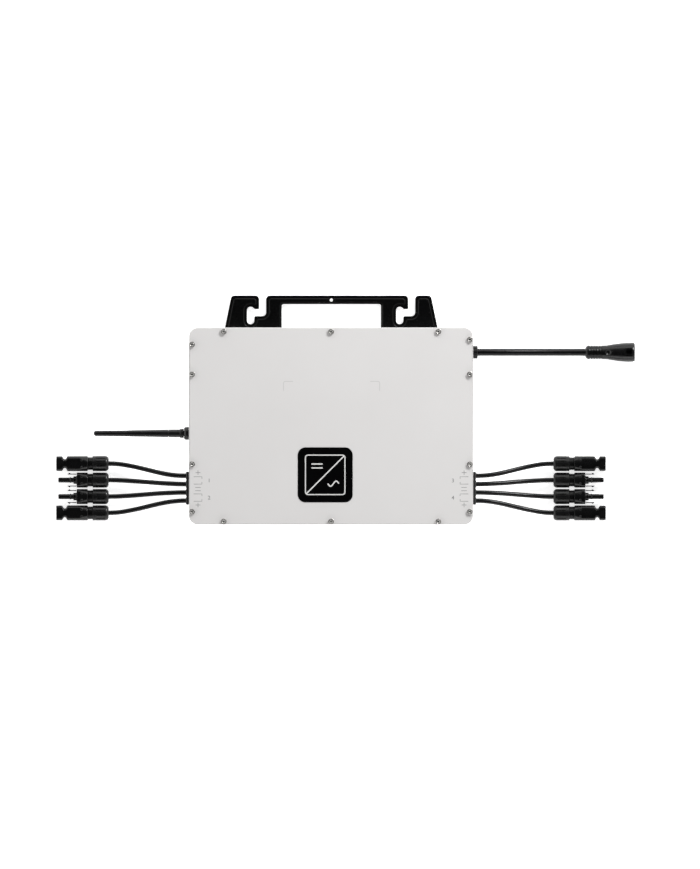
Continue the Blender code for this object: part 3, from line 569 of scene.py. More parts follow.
def line_curve(name, lines, rounding, resolution, flat=False):
    """Curve data through straight lines of points: closed flat outlines or open round lines."""
    curve = bpy.data.curves.new(name, "CURVE")
    curve.dimensions = "2D" if flat else "3D"
    curve.bevel_depth = rounding
    curve.bevel_resolution = resolution
    if flat:
        curve.fill_mode = "BOTH"
    else:
        curve.use_fill_caps = True
    for line in lines:
        spline = curve.splines.new("POLY")
        spline.points.add(len(line) - 1)
        for point, place in zip(spline.points, line):
            point.co = (*Vector(place).to_3d(), 1)
        spline.use_cyclic_u = flat
    return curve


def flat_shape(outlines, bottom, top, rounding=0.0, steps=2):
    """A flat solid with rounded edges; the outlines after the first one are holes in it."""
    curve = line_curve("outline", outlines, rounding, steps, flat=True)
    curve.extrude = (top - bottom) / 2 - rounding
    curve.offset = -rounding
    obj = linked("outline", curve)
    obj.location.z = (bottom + top) / 2
    return as_bmesh(obj)


def drawn_line(points, width, height):
    """A line of print along a path in X and Y, rounded off at the edges."""
    shape = as_bmesh(linked("line", line_curve("line", [points], width / 2, 3)))
    shape.transform(Matrix.Diagonal((1, 1, 2 * height / width, 1)))
    return shape


def ring(x, half_y, half_z, power, count):
    """A superellipse round the X axis: power 2 is an ellipse, 4 and more a soft square."""
    points = []
    for i in range(count):
        angle = 2 * math.pi * i / count
        c, s = math.cos(angle), math.sin(angle)
        y = math.copysign(abs(c) ** (2 / power), c) * half_y
        z = math.copysign(abs(s) ** (2 / power), s) * half_z
        points.append((x, y, z))
    return points


def loft(rings, hollow=False):
    """A closed skin over rings of points; a hollow one comes back to its first ring."""
    shape = bmesh.new()
    loops = [[shape.verts.new(point) for point in points] for points in rings]
    pairs = list(zip(loops, loops[1:]))
    if hollow:
        pairs.append((loops[-1], loops[0]))
    for near, far in pairs:
        for i in range(len(near)):
            shape.faces.new((near[i - 1], near[i], far[i], far[i - 1]))
    if not hollow:
        shape.faces.new(loops[0])
        shape.faces.new(loops[-1])
    cleaned(shape)
    bmesh.ops.recalc_face_normals(shape, faces=shape.faces)
    return shape


def turned(profile, count, hollow=False):
    """A solid turned about the X axis, from (distance, radius) pairs in metres."""
    least = WELD / 4
    return loft([ring(x, max(r, least), max(r, least), 2.0, count) for x, r in profile], hollow)


def lathe(points, count, fillet=0.0, steps=3, hollow=False):
    """A solid turned about the X axis, all in millimetres, its corners rounded by fillet."""
    profile = in_metres(*points)
    return turned(filleted(profile, fillet * MM, steps) if fillet else profile, count, hollow)


def cylinder(radius, start, end, count):
    return turned([(start, 0), (start, radius), (end, radius), (end, 0)], count)


FLUTE_EDGE = 0.09


def fluted(x, radius, depth, count, points, share):
    """A ring with shallow flat-bottomed flutes, for grips and knurled nuts."""
    result = []
    for i in range(points):
        angle = 2 * math.pi * i / points
        phase = (angle * count / (2 * math.pi)) % 1.0
        dip = min(1.0, max(0.0, (share / 2 - abs(phase - 0.5)) / FLUTE_EDGE))
        reach = radius - depth * dip
        result.append((x, reach * math.cos(angle), reach * math.sin(angle)))
    return result


def fluted_tube(profile, count, points, share=0.45):
    """A hollow turned solid from (distance, radius, depth of its flutes), in millimetres."""
    rows = in_metres(*profile)
    return loft([fluted(*row, count, points, share) for row in rows], hollow=True)


def moved(shape, x, y, z):
    shape.transform(Matrix.Translation((x, y, z)))
    return shape


def upright(shape):
    """Turns a shape made along X so that it stands along Z."""
    shape.transform(Matrix.Rotation(math.radians(-90), 4, "Y"))
    return shape


def standing(shape, node, z):
    """A shape made along X, stood up at a height over the middle of a node."""
    place = middle(node)
    return moved(upright(shape), place.x, place.y, z)


def swung(shape, offset, angle):
    """A shape along X moved out from the axis, at an angle in degrees round it."""
    angle = math.radians(angle)
    return moved(shape, 0, offset * MM * math.cos(angle), offset * MM * math.sin(angle))


def along_x(x, y, z, direction):
    """A place for a piece that is made along +X from its own origin."""
    turn = Matrix.Rotation(0 if direction > 0 else math.pi, 4, "Z")
    return Matrix.Translation((x, y, z)) @ turn


def cable_end(node, direction):
    """The place of a connector that is made along +X from the end its cable goes in."""
    low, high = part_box(node)
    axis = middle(node)
    return along_x(low.x if direction > 0 else high.x, axis.y, axis.z, direction)


def box_shape(low, high, rounding, segments=2):
    low, high = Vector(low), Vector(high)
    shape = bmesh.new()
    place = Matrix.Translation((low + high) / 2) @ Matrix.Diagonal((*(high - low), 1))
    bmesh.ops.create_cube(shape, size=1, matrix=place)
    bmesh.ops.bevel(shape, geom=shape.edges, offset=rounding, segments=segments,
                    profile=0.5, affect="EDGES")
    return shape


def block(low, high, rounding):
    """A box with rounded edges between two corners in millimetres."""
    return box_shape(*in_metres(low, high), rounding * MM)


# --- Cords ---

# Routes in metres on the +X side, from the housing to the connector; the other side mirrors them
AC_X = (171.3, 184.0, 200.0, 217.0, 234.0, 251.0, 268.0, 284.0, 296.0)
AC_Y = 85.9
AC_Z = (21.5, 21.4, 20.2, 17.9, 15.2, 13.0, 11.7, 11.4, 11.4)
AC_ROUTE = in_metres(*((x, AC_Y, z) for x, z in zip(AC_X, AC_Z)))
DC_X = (169.4, 177.0, 188.0, 200.0, 212.0, 224.0, 236.0, 248.0, 258.7)
DC_Y = (
    (-57.9, -57.8, -56.7, -54.4, -51.5, -48.6, -46.1, -44.3, -43.8),
    (-67.7, -67.6, -67.1, -66.4, -65.5, -64.6, -63.8, -63.2, -63.0),
    (-77.4, -77.5, -77.9, -78.5, -79.4, -80.4, -81.3, -82.0, -82.2),
    (-87.0, -87.2, -88.4, -90.6, -93.4, -96.3, -98.8, -100.7, -101.2),
)
DC_Z = (
    (21.5, 21.4, 20.4, 17.8, 14.4, 11.3, 9.5, 9.0, 9.0),
    (21.5, 21.4, 20.2, 17.5, 14.1, 11.1, 9.4, 9.0, 9.0),
    (21.5, 21.4, 20.3, 17.7, 14.3, 11.2, 9.4, 9.0, 9.0),
    (21.5, 21.4, 20.5, 18.0, 14.6, 11.5, 9.6, 9.0, 9.0),
)
DC_ROUTES = [in_metres(*zip(DC_X, *rows)) for rows in zip(DC_Y, DC_Z)]
AC_DIAMETER = 8.5 * MM
DC_DIAMETER = 5.5 * MM
CORD_POINTS = 36
TUCK = 2.5 * MM


def smooth_route(points):
    """Points along the Catmull-Rom curve through a route, tucked in at both ends."""
    points = [Vector(point) for point in points]
    points[0] = points[0] - (points[1] - points[0]).normalized() * TUCK
    points[-1] = points[-1] + (points[-1] - points[-2]).normalized() * TUCK
    padded = [2 * points[0] - points[1], *points, 2 * points[-1] - points[-2]]
    steps = CORD_POINTS // (len(points) - 1)
    line = []
    for a, b, c, d in zip(padded, padded[1:], padded[2:], padded[3:]):
        for step in range(steps):
            t = step / steps
            line.append(0.5 * (2 * b + (c - a) * t + (2 * a - 5 * b + 4 * c - d) * t**2
                               + (3 * b - a - 3 * c + d) * t**3))
    line.append(points[-1])
    return line


def cord_piece(name, route, diameter, node):
    """The piece, the point where it leaves the housing and its length."""
    line = smooth_route(route)
    curve = line_curve(name, [line], diameter / 2, 8)
    curve.splines[0].use_smooth = True
    length = sum((far - near).length for near, far in zip(line, line[1:]))
    return piece(name, curve, "cable", stands_for=[node]), line[0], length


def make_cords():
    cords = {"ac": cord_piece("mains_lead", AC_ROUTE, AC_DIAMETER, "ac_cable")}
    for side, direction in SIDES:
        for line, route in zip(LINES, DC_ROUTES):
            route = [(direction * x, y, z) for x, y, z in route]
            cords[side, line] = cord_piece(f"module_lead_{side}_{line}", route, DC_DIAMETER,
                                           f"dc_cable_{side}_{line}")
    return cords


# --- Front cover ---

SCREWS = [f"cover_screw_{number:02d}" for number in range(1, 15)]
SCREW_HOLE_RADIUS = 2.3 * MM
SCREW_SHANK = 8 * MM
SCREW_SEED = 14
COVER_TOP = COVER_HIGH.z
PRINT_HEIGHT = 0.06 * MM
CORNER_MARKS = ((-55.4 * MM, 52.0 * MM, -1), (56.7 * MM, 52.0 * MM, 1))
MARK_ARM = 11.0 * MM
BADGE_PLACE = (-6.8 * MM, -56.9 * MM)
BADGE_SIZE = 64.0 * MM
BADGE_FRAME = 46.0
BADGE_CORNER = 22.0
# Distances from the middle of the cover to the marks beside the leads, in millimetres
MARKS_OUTER, MARKS_INNER, SIGNS_X, NUMERALS_X = 160.0, 150.4, 155.0, 142.0


def corner_mark(x, y, direction):
    """A rounded angle printed on the cover, its corner up and outwards."""
    corner = [(x - direction * MARK_ARM, y), (x, y), (x, y - MARK_ARM)]
    return drawn_line(filleted(corner, 2.5 * MM, 5), 0.8 * MM, PRINT_HEIGHT)


def make_cover():
    holes = [circle(middle(node).xy, SCREW_HOLE_RADIUS, 24) for node in SCREWS]
    plate = flat_shape([housing_outline(0), *holes], COVER_LOW.z, COVER_TOP, 0.8 * MM, 3)
    piece("cover_plate", plate, "cover", stands_for=["front_cover"])
    marks = [corner_mark(*mark) for mark in CORNER_MARKS]
    piece("corner_marks", moved(gathered(marks), 0, 0, COVER_TOP), "mark")


def print_line(*points, width=0.7 * MM):
    return drawn_line(in_metres(*points), width, PRINT_HEIGHT)


def numeral(text, x, y):
    font = bpy.data.curves.new("numeral", "FONT")
    font.body = text
    font.size = 6.2 * MM
    font.extrude = PRINT_HEIGHT
    font.offset = 0.08 * MM
    font.align_x = "CENTER"
    font.align_y = "CENTER"
    return moved(as_bmesh(linked("numeral", font)), x * MM, y * MM, 0)


def lead_marks(direction, numbers):
    """Polarity signs, the brackets that pair the leads and a numeral for each pair."""
    outer, inner, sign = MARKS_OUTER * direction, MARKS_INNER * direction, SIGNS_X * direction
    shapes = []
    for y in (-54.3, -92.0):
        shapes += [print_line((sign - 2.8, y), (sign + 2.8, y)),
                   print_line((sign, y - 2.6), (sign, y + 2.6))]
    for y in (-71.6, -75.4):
        shapes.append(print_line((sign - 3.2, y), (sign + 3.2, y)))
    for top, number in zip((-59.1, -79.1), numbers):
        low = top - 8.6
        shapes += [print_line((outer, top), (inner, top), (inner, top - 2.4)),
                   print_line((outer, low), (inner, low), (inner, low + 2.4)),
                   numeral(number, NUMERALS_X * direction, top - 4.6)]
    return shapes


def make_print():
    shapes = lead_marks(-1, "12") + lead_marks(1, "34")
    piece("cover_print", moved(gathered(shapes), 0, 0, COVER_TOP), "print")


def wave(x, y, half, height):
    """One sine wave about a point, in millimetres."""
    return [(x + half * t / 12, y + height * math.sin(math.pi * t / 12)) for t in range(-12, 13)]


def make_badge():
    """A plain black badge with the general sign for a converter from direct to alternating."""
    top = COVER_TOP + 0.35 * MM
    outline = rounded_rectangle(BADGE_PLACE, BADGE_SIZE, BADGE_SIZE, 9 * MM)
    piece("badge_plate", flat_shape([outline], COVER_TOP - 0.1 * MM, top, 0.15 * MM), "badge")
    border = rounded_rectangle((0, 0), BADGE_FRAME, BADGE_FRAME, 3.0)
    strokes = [print_line(*border, border[0], width=1.3 * MM)]
    strokes += [print_line(*points, width=1.5 * MM) for points in (
        [(-BADGE_CORNER, -BADGE_CORNER), (BADGE_CORNER, BADGE_CORNER)],
        [(-16.0, 12.6), (-3.0, 12.6)], [(-16.0, 8.0), (-3.0, 8.0)], wave(9.5, -10.3, 6.5, 3.0))]
    piece("badge_sign", moved(gathered(strokes), *BADGE_PLACE, top), "badge_ink")


def six_lobes(radius, waist, points=72):
    """The outline of a six-lobed driver recess."""
    outline = []
    for i in range(points):
        angle = 2 * math.pi * i / points
        reach = waist + (radius - waist) * (0.5 + 0.5 * math.cos(6 * angle))
        outline.append((reach * math.cos(angle), reach * math.sin(angle)))
    return outline


def screw_mesh(name, radius, height, shank):
    """A pan head with a dished entry to its six-lobed recess, standing on z = 0."""
    profile = filleted([
        (-shank, 0), (-shank, 1.7 * MM), (-shank + 0.6 * MM, 2.0 * MM), (0, 2.0 * MM),
        (0, radius), (height - 0.45 * MM, radius), (height, radius - 0.4 * MM),
        (height, 2.05 * MM), (height - 0.7 * MM, 1.3 * MM), (height - 0.7 * MM, 0)], 0.18 * MM)
    recess = flat_shape([six_lobes(1.25 * MM, 0.95 * MM)], height - 1.9 * MM, height + MM)
    return as_mesh(name, combined(upright(turned(profile, 48)), cut=[recess]))


def make_screws():
    low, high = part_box(SCREWS[0])
    mesh = screw_mesh("cover_screw", (high.x - low.x) / 2, high.z - COVER_TOP, SCREW_SHANK)
    turns = random.Random(SCREW_SEED)
    for number, node in enumerate(SCREWS, 1):
        place = middle(node)
        turn = Matrix.Rotation(turns.uniform(0, math.tau), 4, "Z")
        piece(f"flanged_screw_{number:02d}", mesh, "screws", stands_for=[node],
              place=Matrix.Translation((place.x, place.y, COVER_TOP)) @ turn)


# --- Rear housing ---

FIN_COUNT = 27
FIN_PITCH = 12.0 * MM
FIN_HALF_LENGTH = 95.0 * MM
FIN_MIDDLE_Y = -11.0 * MM
FIN_SLOPE = 4.0 * MM
TRAY_BOTTOM = 10.0 * MM
BOSS_FOOT = 12.0 * MM
# Height and inset of the outside of the tray, from the bottom, in millimetres
TRAY_STEPS = ((10.0, 3.2), (10.3, 2.2), (11.0, 1.4), (12.0, 1.0), (26.6, 0.55), (27.6, 0.15),
              (28.2, 0.0), (32.7, 0.0), (33.05, 0.15))
# A side wall from inside to outside, with room to spare on both sides
WALL_INSIDE, WALL_OUTSIDE = 156 * MM, 167 * MM


def wall_ring(z, inset):
    return [(x, y, z) for x, y in housing_outline(inset)]


def fin(x):
    """One tapered fin with sloping ends and a rounded tip, along Y."""
    half, root = FIN_HALF_LENGTH, TRAY_BOTTOM + MM
    rings = []
    for y, top in ((-half, 0.75), (-half + FIN_SLOPE, 0.0), (half - FIN_SLOPE, 0.0), (half, 0.75)):
        tip = TRAY_BOTTOM * top
        near, far = tip + 0.1 * MM, tip + 0.7 * MM
        section = ((1.35, root), (1.0, far), (0.55, near), (0, tip),
                   (-0.55, near), (-1.0, far), (-1.35, root))
        rings.append([(x + side * MM, y + FIN_MIDDLE_Y, z) for side, z in section])
    return loft(rings)


def make_housing():
    """A finned tray with a seal groove, screw bosses and the openings in its side walls."""
    rim = COVER_LOW.z - 0.3 * MM
    ledge = rim - 4 * MM
    outside = loft([*(wall_ring(z * MM, inset * MM) for z, inset in TRAY_STEPS),
                    wall_ring(rim, 0.5 * MM)])
    fins = gathered([fin(FIN_PITCH * (i - (FIN_COUNT - 1) / 2)) for i in range(FIN_COUNT)])
    feet = gathered([moved(upright(lathe([(0, 0), (0, 6.0), (1.2, 6.5), (5, 6.5), (5, 0)], 32)),
                           x * MM, 100 * MM, 6.3 * MM) for x in (-95, 0, 95)])
    cavity = flat_shape([housing_outline(4.2 * MM)], 13 * MM, ledge)
    mouth = flat_shape([housing_outline(12 * MM)], 14 * MM, rim + MM)
    shell = combined(outside, joined=[fins, feet], cut=[cavity, mouth])

    boss_height = ledge + MM - BOSS_FOOT
    bosses = gathered([standing(cylinder(3.5 * MM, 0, boss_height, 24), node, BOSS_FOOT)
                       for node in SCREWS])
    holes = gathered([standing(cylinder(2.2 * MM, 0, 20 * MM, 20), node, 20 * MM)
                      for node in SCREWS])
    groove = flat_shape([housing_outline(7.8 * MM), housing_outline(10.2 * MM)],
                        rim - 1.4 * MM, rim + MM)
    gland = moved(cylinder(5.9 * MM, WALL_INSIDE, WALL_OUTSIDE, 40),
                  0, middle("ac_gland").y, EXIT_Z)
    antenna = moved(cylinder(4.3 * MM, -WALL_OUTSIDE, -WALL_INSIDE, 40),
                    0, middle("antenna_base").y, EXIT_Z)
    slot_y = middle("dc_grommet_right").y
    slots = []
    for _, direction in SIDES:
        near, far = sorted((direction * 157.0 * MM, direction * 166.5 * MM))
        slots.append(box_shape((near, slot_y - 17.3 * MM, EXIT_Z - 4.8 * MM),
                               (far, slot_y + 17.3 * MM, EXIT_Z + 4.8 * MM), 0.8 * MM))
    shell = combined(shell, joined=[bosses], cut=[groove, holes, *slots, gland, antenna])
    piece("casting", shell, "housing", stands_for=["rear_housing"])


# --- Mounting bracket ---

BRACKET_LOW, BRACKET_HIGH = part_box("mounting_bracket")
HOOK_SPACING = 173.7
SHOULDER_Y = 114.7 * MM
HANGING_HOLE = (0.3 * MM, 146.8 * MM)


def hook_edge(shift):
    """One bolt hook: rounded nose, slot, shelf and the channel that leads in from the top."""
    top = BRACKET_HIGH.y / MM
    slot_x, radius, low, high = -93.7, 4.2, 122.9, 134.7
    outline = arc((-88.3, top - 4.5), 4.5, 90, 0, 10)
    outline += arc((-85.0, 137.4), 1.2, 0, -90, 5)
    outline.append((-88.8, 136.2))
    outline += arc((slot_x, high), radius, 49, 180, 16)
    outline += arc((slot_x, low), radius, 180, 360, 20)
    outline += arc((slot_x + radius + 1.6, 126.4), 1.6, 180, 90, 5)
    outline += arc((-80.0, 132.3), 4.3, 270, 360, 8)
    outline += arc((-71.2, top - 4.5), 4.5, 180, 90, 10)
    return in_metres(*from_x(shift, *outline))


def bracket_outline():
    low, top, radius = BRACKET_LOW.y, BRACKET_HIGH.y, 4.3 * MM
    outline = [(BRACKET_LOW.x, SHOULDER_Y)]
    outline += arc((-112.5 * MM, top - radius), radius, 168.5, 90, 9)
    outline += hook_edge(0) + hook_edge(HOOK_SPACING)
    outline += arc((112.9 * MM, top - radius), radius, 90, 11.8, 9)
    outline.append((BRACKET_HIGH.x, SHOULDER_Y))
    outline += arc((BRACKET_HIGH.x - radius, low + radius), radius, 0, -90, 8)
    outline += arc((BRACKET_LOW.x + radius, low + radius), radius, 270, 180, 8)
    return outline


def finely(outline, step):
    """The same closed outline with no point further than a step from the next."""
    points = []
    for near, far in zip(outline, [*outline[1:], outline[0]]):
        near, far = Vector(near), Vector(far)
        count = max(1, math.ceil((far - near).length / step))
        points += [near.lerp(far, i / count) for i in range(count)]
    return points


def terrace(outline, steps):
    """A solid whose side follows an outline at the given insets and heights, bottom first.

    A negative inset lies outside the outline. Where the deepest inset would cross itself, at a
    tight corner, the outline's points are left out of every step.
    """
    points = finely(outline, 1.0 * MM)
    following = [*points[1:], points[0]]
    area = sum(a.cross(b) for a, b in zip(points, following))
    turn = 1 if area > 0 else -1
    normals = []
    for before, after in zip([points[-1], *points], following):
        along = (after - before).normalized() * turn
        normals.append(Vector((-along.y, along.x)))
    deepest = max((inset for inset, _ in steps), key=abs)
    reach = (abs(deepest) * 0.9998) ** 2
    near = finely(outline, 0.3 * MM)
    kept = [(point, normal) for point, normal in zip(points, normals)
            if min((point + normal * deepest - other).length_squared for other in near) > reach]
    rings = []
    for inset, z in steps:
        rings.append([(*(point + normal * inset), z) for point, normal in kept])
    shape = loft(rings)
    bmesh.ops.triangulate(shape, faces=[face for face in shape.faces if len(face.verts) > 4])
    return shape


def make_bracket():
    """Pressed sheet with a raised panel that follows its outline, and three countersinks."""
    outline = bracket_outline()
    window = rounded_rectangle((0.35 * MM, 127.8 * MM), 115.5 * MM, 28.4 * MM, 2.4 * MM, 6)
    hole = circle(HANGING_HOLE, 1.85 * MM, 28)
    back, front = BRACKET_LOW.z, BRACKET_HIGH.z
    sheet = flat_shape([outline, window, hole], back, front - 0.7 * MM, 0.35 * MM)
    slope = in_metres((0, -1.2), (0, -0.72), (0.3, -0.5), (0.75, -0.12), (1.1, 0))
    panel = terrace(outline, [(3.3 * MM + inset, front + drop) for inset, drop in slope])
    opening = terrace(window, [(-1.5 * MM - inset, front + drop) for inset, drop in slope]
                      + [(-3.0 * MM, front + 0.5 * MM)])
    collar = moved(upright(lathe([(-2, 0), (-2, 2.6), (-0.72, 2.6), (-0.12, 3.2), (0.5, 3.5),
                                  (0.5, 0)], 32)), *HANGING_HOLE, front)
    panel = combined(panel, cut=[opening, collar])
    countersinks = [standing(lathe([(-1, 0), (-1, 4.7), (0.6, 4.7), (2.6, 2.5), (5, 2.5), (5, 0)],
                                   32), f"bracket_screw_{name}", back)
                    for name in ("left", "middle", "right")]
    piece("hook_bracket", combined(sheet, joined=[panel], cut=countersinks), "bracket",
          stands_for=["mounting_bracket"])


# --- Antenna ---


def make_antenna():
    place = along_x(-SIDE, middle("antenna_base").y, EXIT_Z, -1)
    base = lathe([(-8.5, 0), (-8.5, 6.5), (-4.5, 6.5), (-4.5, 4.0), (0.1, 4.0), (0.1, 7.5),
                  (3.9, 7.5), (5.8, 6.1), (5.8, 3.1), (10.2, 3.1), (10.2, 0)], 72, 0.35)
    piece("antenna_socket", base, "antenna_metal", stands_for=["antenna_base"], place=place)
    collar = fluted_tube([(6.1, 3.5, 0), (6.1, 4.7, 0), (6.5, 5.2, 0), (6.8, 5.2, 0.35),
                          (9.6, 5.2, 0.35), (10.0, 5.2, 0), (10.6, 4.7, 0), (10.8, 4.5, 0),
                          (10.7, 3.5, 0)], 24, 192)
    piece("antenna_collar", collar, "antenna_metal", body="antenna", place=place)
    tip = (-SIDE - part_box("antenna_whip")[0].x) / MM
    rod = [(10.75, 0), (10.75, 4.3), (12.0, 4.45), (22.6, 4.35), (23.2, 4.3), (23.3, 3.8),
           (24.2, 3.8), (24.3, 4.3), (66.0, 3.8), (75.0, 3.4)]
    rod += from_x(tip, (-3.2, 3.15), (-1.6, 2.9), (-0.5, 1.9), (0, 0.6), (0, 0))
    piece("antenna_rod", lathe(rod, 64, 0.5), "antenna_sheath", body="antenna",
          stands_for=["antenna_whip"], place=place)


# --- Mains gland and connector ---

PIN_ANGLES = (90, 210, 330)
PIN_OFFSET = 3.6


def make_gland():
    bore = (AC_DIAMETER / 2 + 0.15 * MM) / MM
    tube = fluted_tube([(-8.0, bore, 0), (-8.0, 5.6, 0), (0.0, 5.6, 0), (0.0, 7.1, 0),
                        (0.4, 7.55, 0), (0.9, 7.55, 0.5), (4.2, 7.55, 0.5), (4.7, 7.5, 0),
                        (5.4, 6.6, 0), (5.5, 6.0, 0), (5.5, bore + 0.3, 0), (5.0, bore, 0)],
                       16, 192)
    piece("gland_body", tube, "gland", stands_for=["ac_gland"],
          place=along_x(SIDE, middle("ac_gland").y, EXIT_Z, 1))


def connector_shell(length, grip, barrel):
    """Boot, ribbed grip, neck and hollow barrel, turned; all in millimetres."""
    outside = [(0, 4.6), (0, 5.6), (1.6, 7.4), (3.4, grip), (4.4, grip)]
    for i in range(5):
        outside += from_x(5.0 + 3.1 * i, (0, grip), (0.3, grip - 0.75), (1.3, grip - 0.75),
                          (1.6, grip))
    outside += [(21.0, grip), (24.5, grip), (29.0, 8.9), (35.0, 9.85), (41.0, 10.65),
                (46.5, 11.05), (50.5, barrel)]
    outside += from_x(length, (-2.2, barrel), (-0.6, barrel - 0.5), (0, barrel - 1.4), (0, 8.4),
                      (-0.4, 8.2), (-14, 8.2), (-14, 0.5))
    outside += [(8.0, 0.5), (8.0, 4.35), (0.3, 4.35)]
    return lathe(outside, 96, 0.5, 2, hollow=True)


def make_mains_connector():
    low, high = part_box("ac_connector")
    place = cable_end("ac_connector", 1)
    barrel, end = (high.y - low.y) / 2 / MM, (high.x - low.x) / MM
    top = barrel * MM
    latch = flat_shape([rounded_rectangle(((end - 7.0) * MM, 0), 9.4 * MM, 10.2 * MM, MM)],
                       top - 3.2 * MM, top + 0.25 * MM, 0.25 * MM)
    window = box_shape(((end - 10.0) * MM, -2.6 * MM, top - 2.4 * MM),
                       ((end - 3.6) * MM, 2.6 * MM, top + 2 * MM), 0.3 * MM)
    dimple = bmesh.new()
    bmesh.ops.create_uvsphere(dimple, u_segments=48, v_segments=32, radius=5.2 * MM,
                              matrix=Matrix.Translation((26.5 * MM, 0, 12.2 * MM)))
    body = combined(connector_shell(end, 8.1, barrel), joined=[latch], cut=[window, dimple])
    face = end - 9.0
    insert = lathe(from_x(end, (-14.2, 0), (-14.2, 8.1), (-11, 8.1), (-11, 6.4), (-9.0, 6.4),
                          (-9.0, 0)), 64, 0.4)
    well = from_x(face, (-5, 0), (-5, 1.7), (1, 1.7), (1, 0))
    pin = from_x(face, (-2.2, 0), (-2.2, 1.1), (3.4, 1.1), (4.0, 0.55), (4.0, 0))
    wells = [swung(lathe(well, 24), PIN_OFFSET, angle) for angle in PIN_ANGLES]
    pins = [swung(lathe(pin, 24, 0.3), PIN_OFFSET, angle) for angle in PIN_ANGLES]
    pieces = [
        piece("mains_connector", body, "connector", stands_for=["ac_connector"], place=place),
        piece("mains_insert", combined(insert, cut=wells), "nut", place=place),
        piece("mains_contacts", gathered(pins), "contact", place=place),
    ]


# --- Module leads ---

# Distances along a module connector from its cable end, and half its width, in millimetres
NUT_LENGTH = 18.7
WAIST_END = 24.1
DOTS_X = 31.6
SOCKET_BODY_END = 48.5
SOCKET_LENGTH = 61.2
PLUG_FACE = 37.5
PLUG_LENGTH = 58.8
HALF = 8.8
ARM_OFFSET = 7.0
NOSE_SEAL_X = PLUG_FACE + 7.1


def nut_mesh():
    """The gland nut: tapered cable end, twelve grip slots and a plain collar."""
    profile = [(0.0, 3.1, 0), (0.0, 5.6, 0), (0.2, 6.4, 0), (0.7, 7.25, 0), (1.4, 7.95, 0),
               (2.2, 8.45, 0), (3.1, 8.72, 0), (3.9, HALF, 0), (4.4, HALF, 0.75),
               (14.6, HALF, 0.75), (15.0, HALF, 0), (15.6, HALF, 0), (15.8, HALF - 0.25, 0),
               (16.1, HALF - 0.25, 0), (16.3, HALF, 0), (18.3, HALF, 0), (18.7, HALF - 0.4, 0),
               (18.7, 7.4, 0), (6.0, 7.4, 0), (5.0, 3.1, 0)]
    return as_mesh("gland_nut", fluted_tube(profile, 12, 240, 0.40))


def body_rings(end):
    """Thread, waist and the shoulder where the round waist turns into the square body."""
    sections = [(7.0, 6.9, 2.0), (NUT_LENGTH - 0.5, 6.9, 2.0)]
    for i in range(4):
        sections += from_x(NUT_LENGTH + 0.2 + i * 1.25, (0, 7.25, 2.0), (0.3, 7.6, 2.0),
                           (0.7, 7.6, 2.0), (1.0, 7.25, 2.0))
    sections += from_x(WAIST_END, (-0.1, 7.5, 2.0), (0.5, 8.5, 2.0), (1.0, HALF, 2.0),
                       (3.0, HALF, 2.15), (6.0, HALF, 2.6), (8.5, HALF, 3.2), (10.0, HALF, 3.8))
    return [(x, half, half, power) for x, half, power in sections if x < end - 1.0]


def seamed(sections):
    """A skin over the rings, with a fine parting line above and below on the square part."""
    rings = []
    for x, half_y, half_z, power in sections:
        points = ring(x * MM, half_y * MM, half_z * MM, power, 128)
        if x > WAIST_END + 8.0:
            for index in (32, 96):
                px, py, pz = points[index]
                points[index] = (px, py, pz + math.copysign(0.16 * MM, pz))
        rings.append(points)
    return loft(rings)


def top_dots():
    """Two small raised dots on the top and two flatter ones below."""
    dots = []
    for y in (-4.0, 4.0):
        for turn, top in ((0, 9.15), (math.pi, 8.95)):
            dot = upright(lathe([(6.0, 0), (6.0, 1.3), (8.7, 1.3), (top - 0.12, 0.95),
                                 (top, 0.6), (top, 0)], 24))
            dot.transform(Matrix.Rotation(turn, 4, "X")
                          @ Matrix.Translation((DOTS_X * MM, y * MM, 0)))
            dots.append(dot)
    return dots


def socket_mesh():
    """The kind with an open mouth: side windows, a flange and slots that guide the arms."""
    end, length = SOCKET_BODY_END, SOCKET_LENGTH
    sections = body_rings(end)
    sections += from_x(end, (-0.6, HALF, HALF, 3.8), (-0.1, HALF - 0.3, HALF - 0.05, 3.8),
                       (1.5, 5.6, HALF - 0.4, 3.6), (1.9, 5.4, HALF - 0.4, 3.6),
                       (3.4, 5.4, HALF - 0.4, 3.6), (3.9, 5.7, HALF - 0.4, 3.6),
                       (5.4, HALF - 0.5, HALF - 0.15, 4.0), (6.0, HALF - 0.1, HALF - 0.1, 4.4))
    sections += [(length - x, HALF - inset, HALF - inset, 4.6)
                 for x, inset in ((0.7, 0.1), (0.2, 0.35), (0, 0.8))]
    mouth = lathe(from_x(length, (-21.6, 0), (-21.6, 3.3), (-4.6, 3.3), (-4.2, 4.5), (-0.5, 4.5),
                         (0.5, 5.4), (0.5, 0)), 48)
    slots = [block((end + 3.2, low, -3.2), (length + 1, high, 3.2), 0.3)
             for low, high in ((-11.0, -6.1), (6.1, 11.0))]
    return as_mesh("socket_body", combined(seamed(sections), top_dots(), [mouth, *slots]))


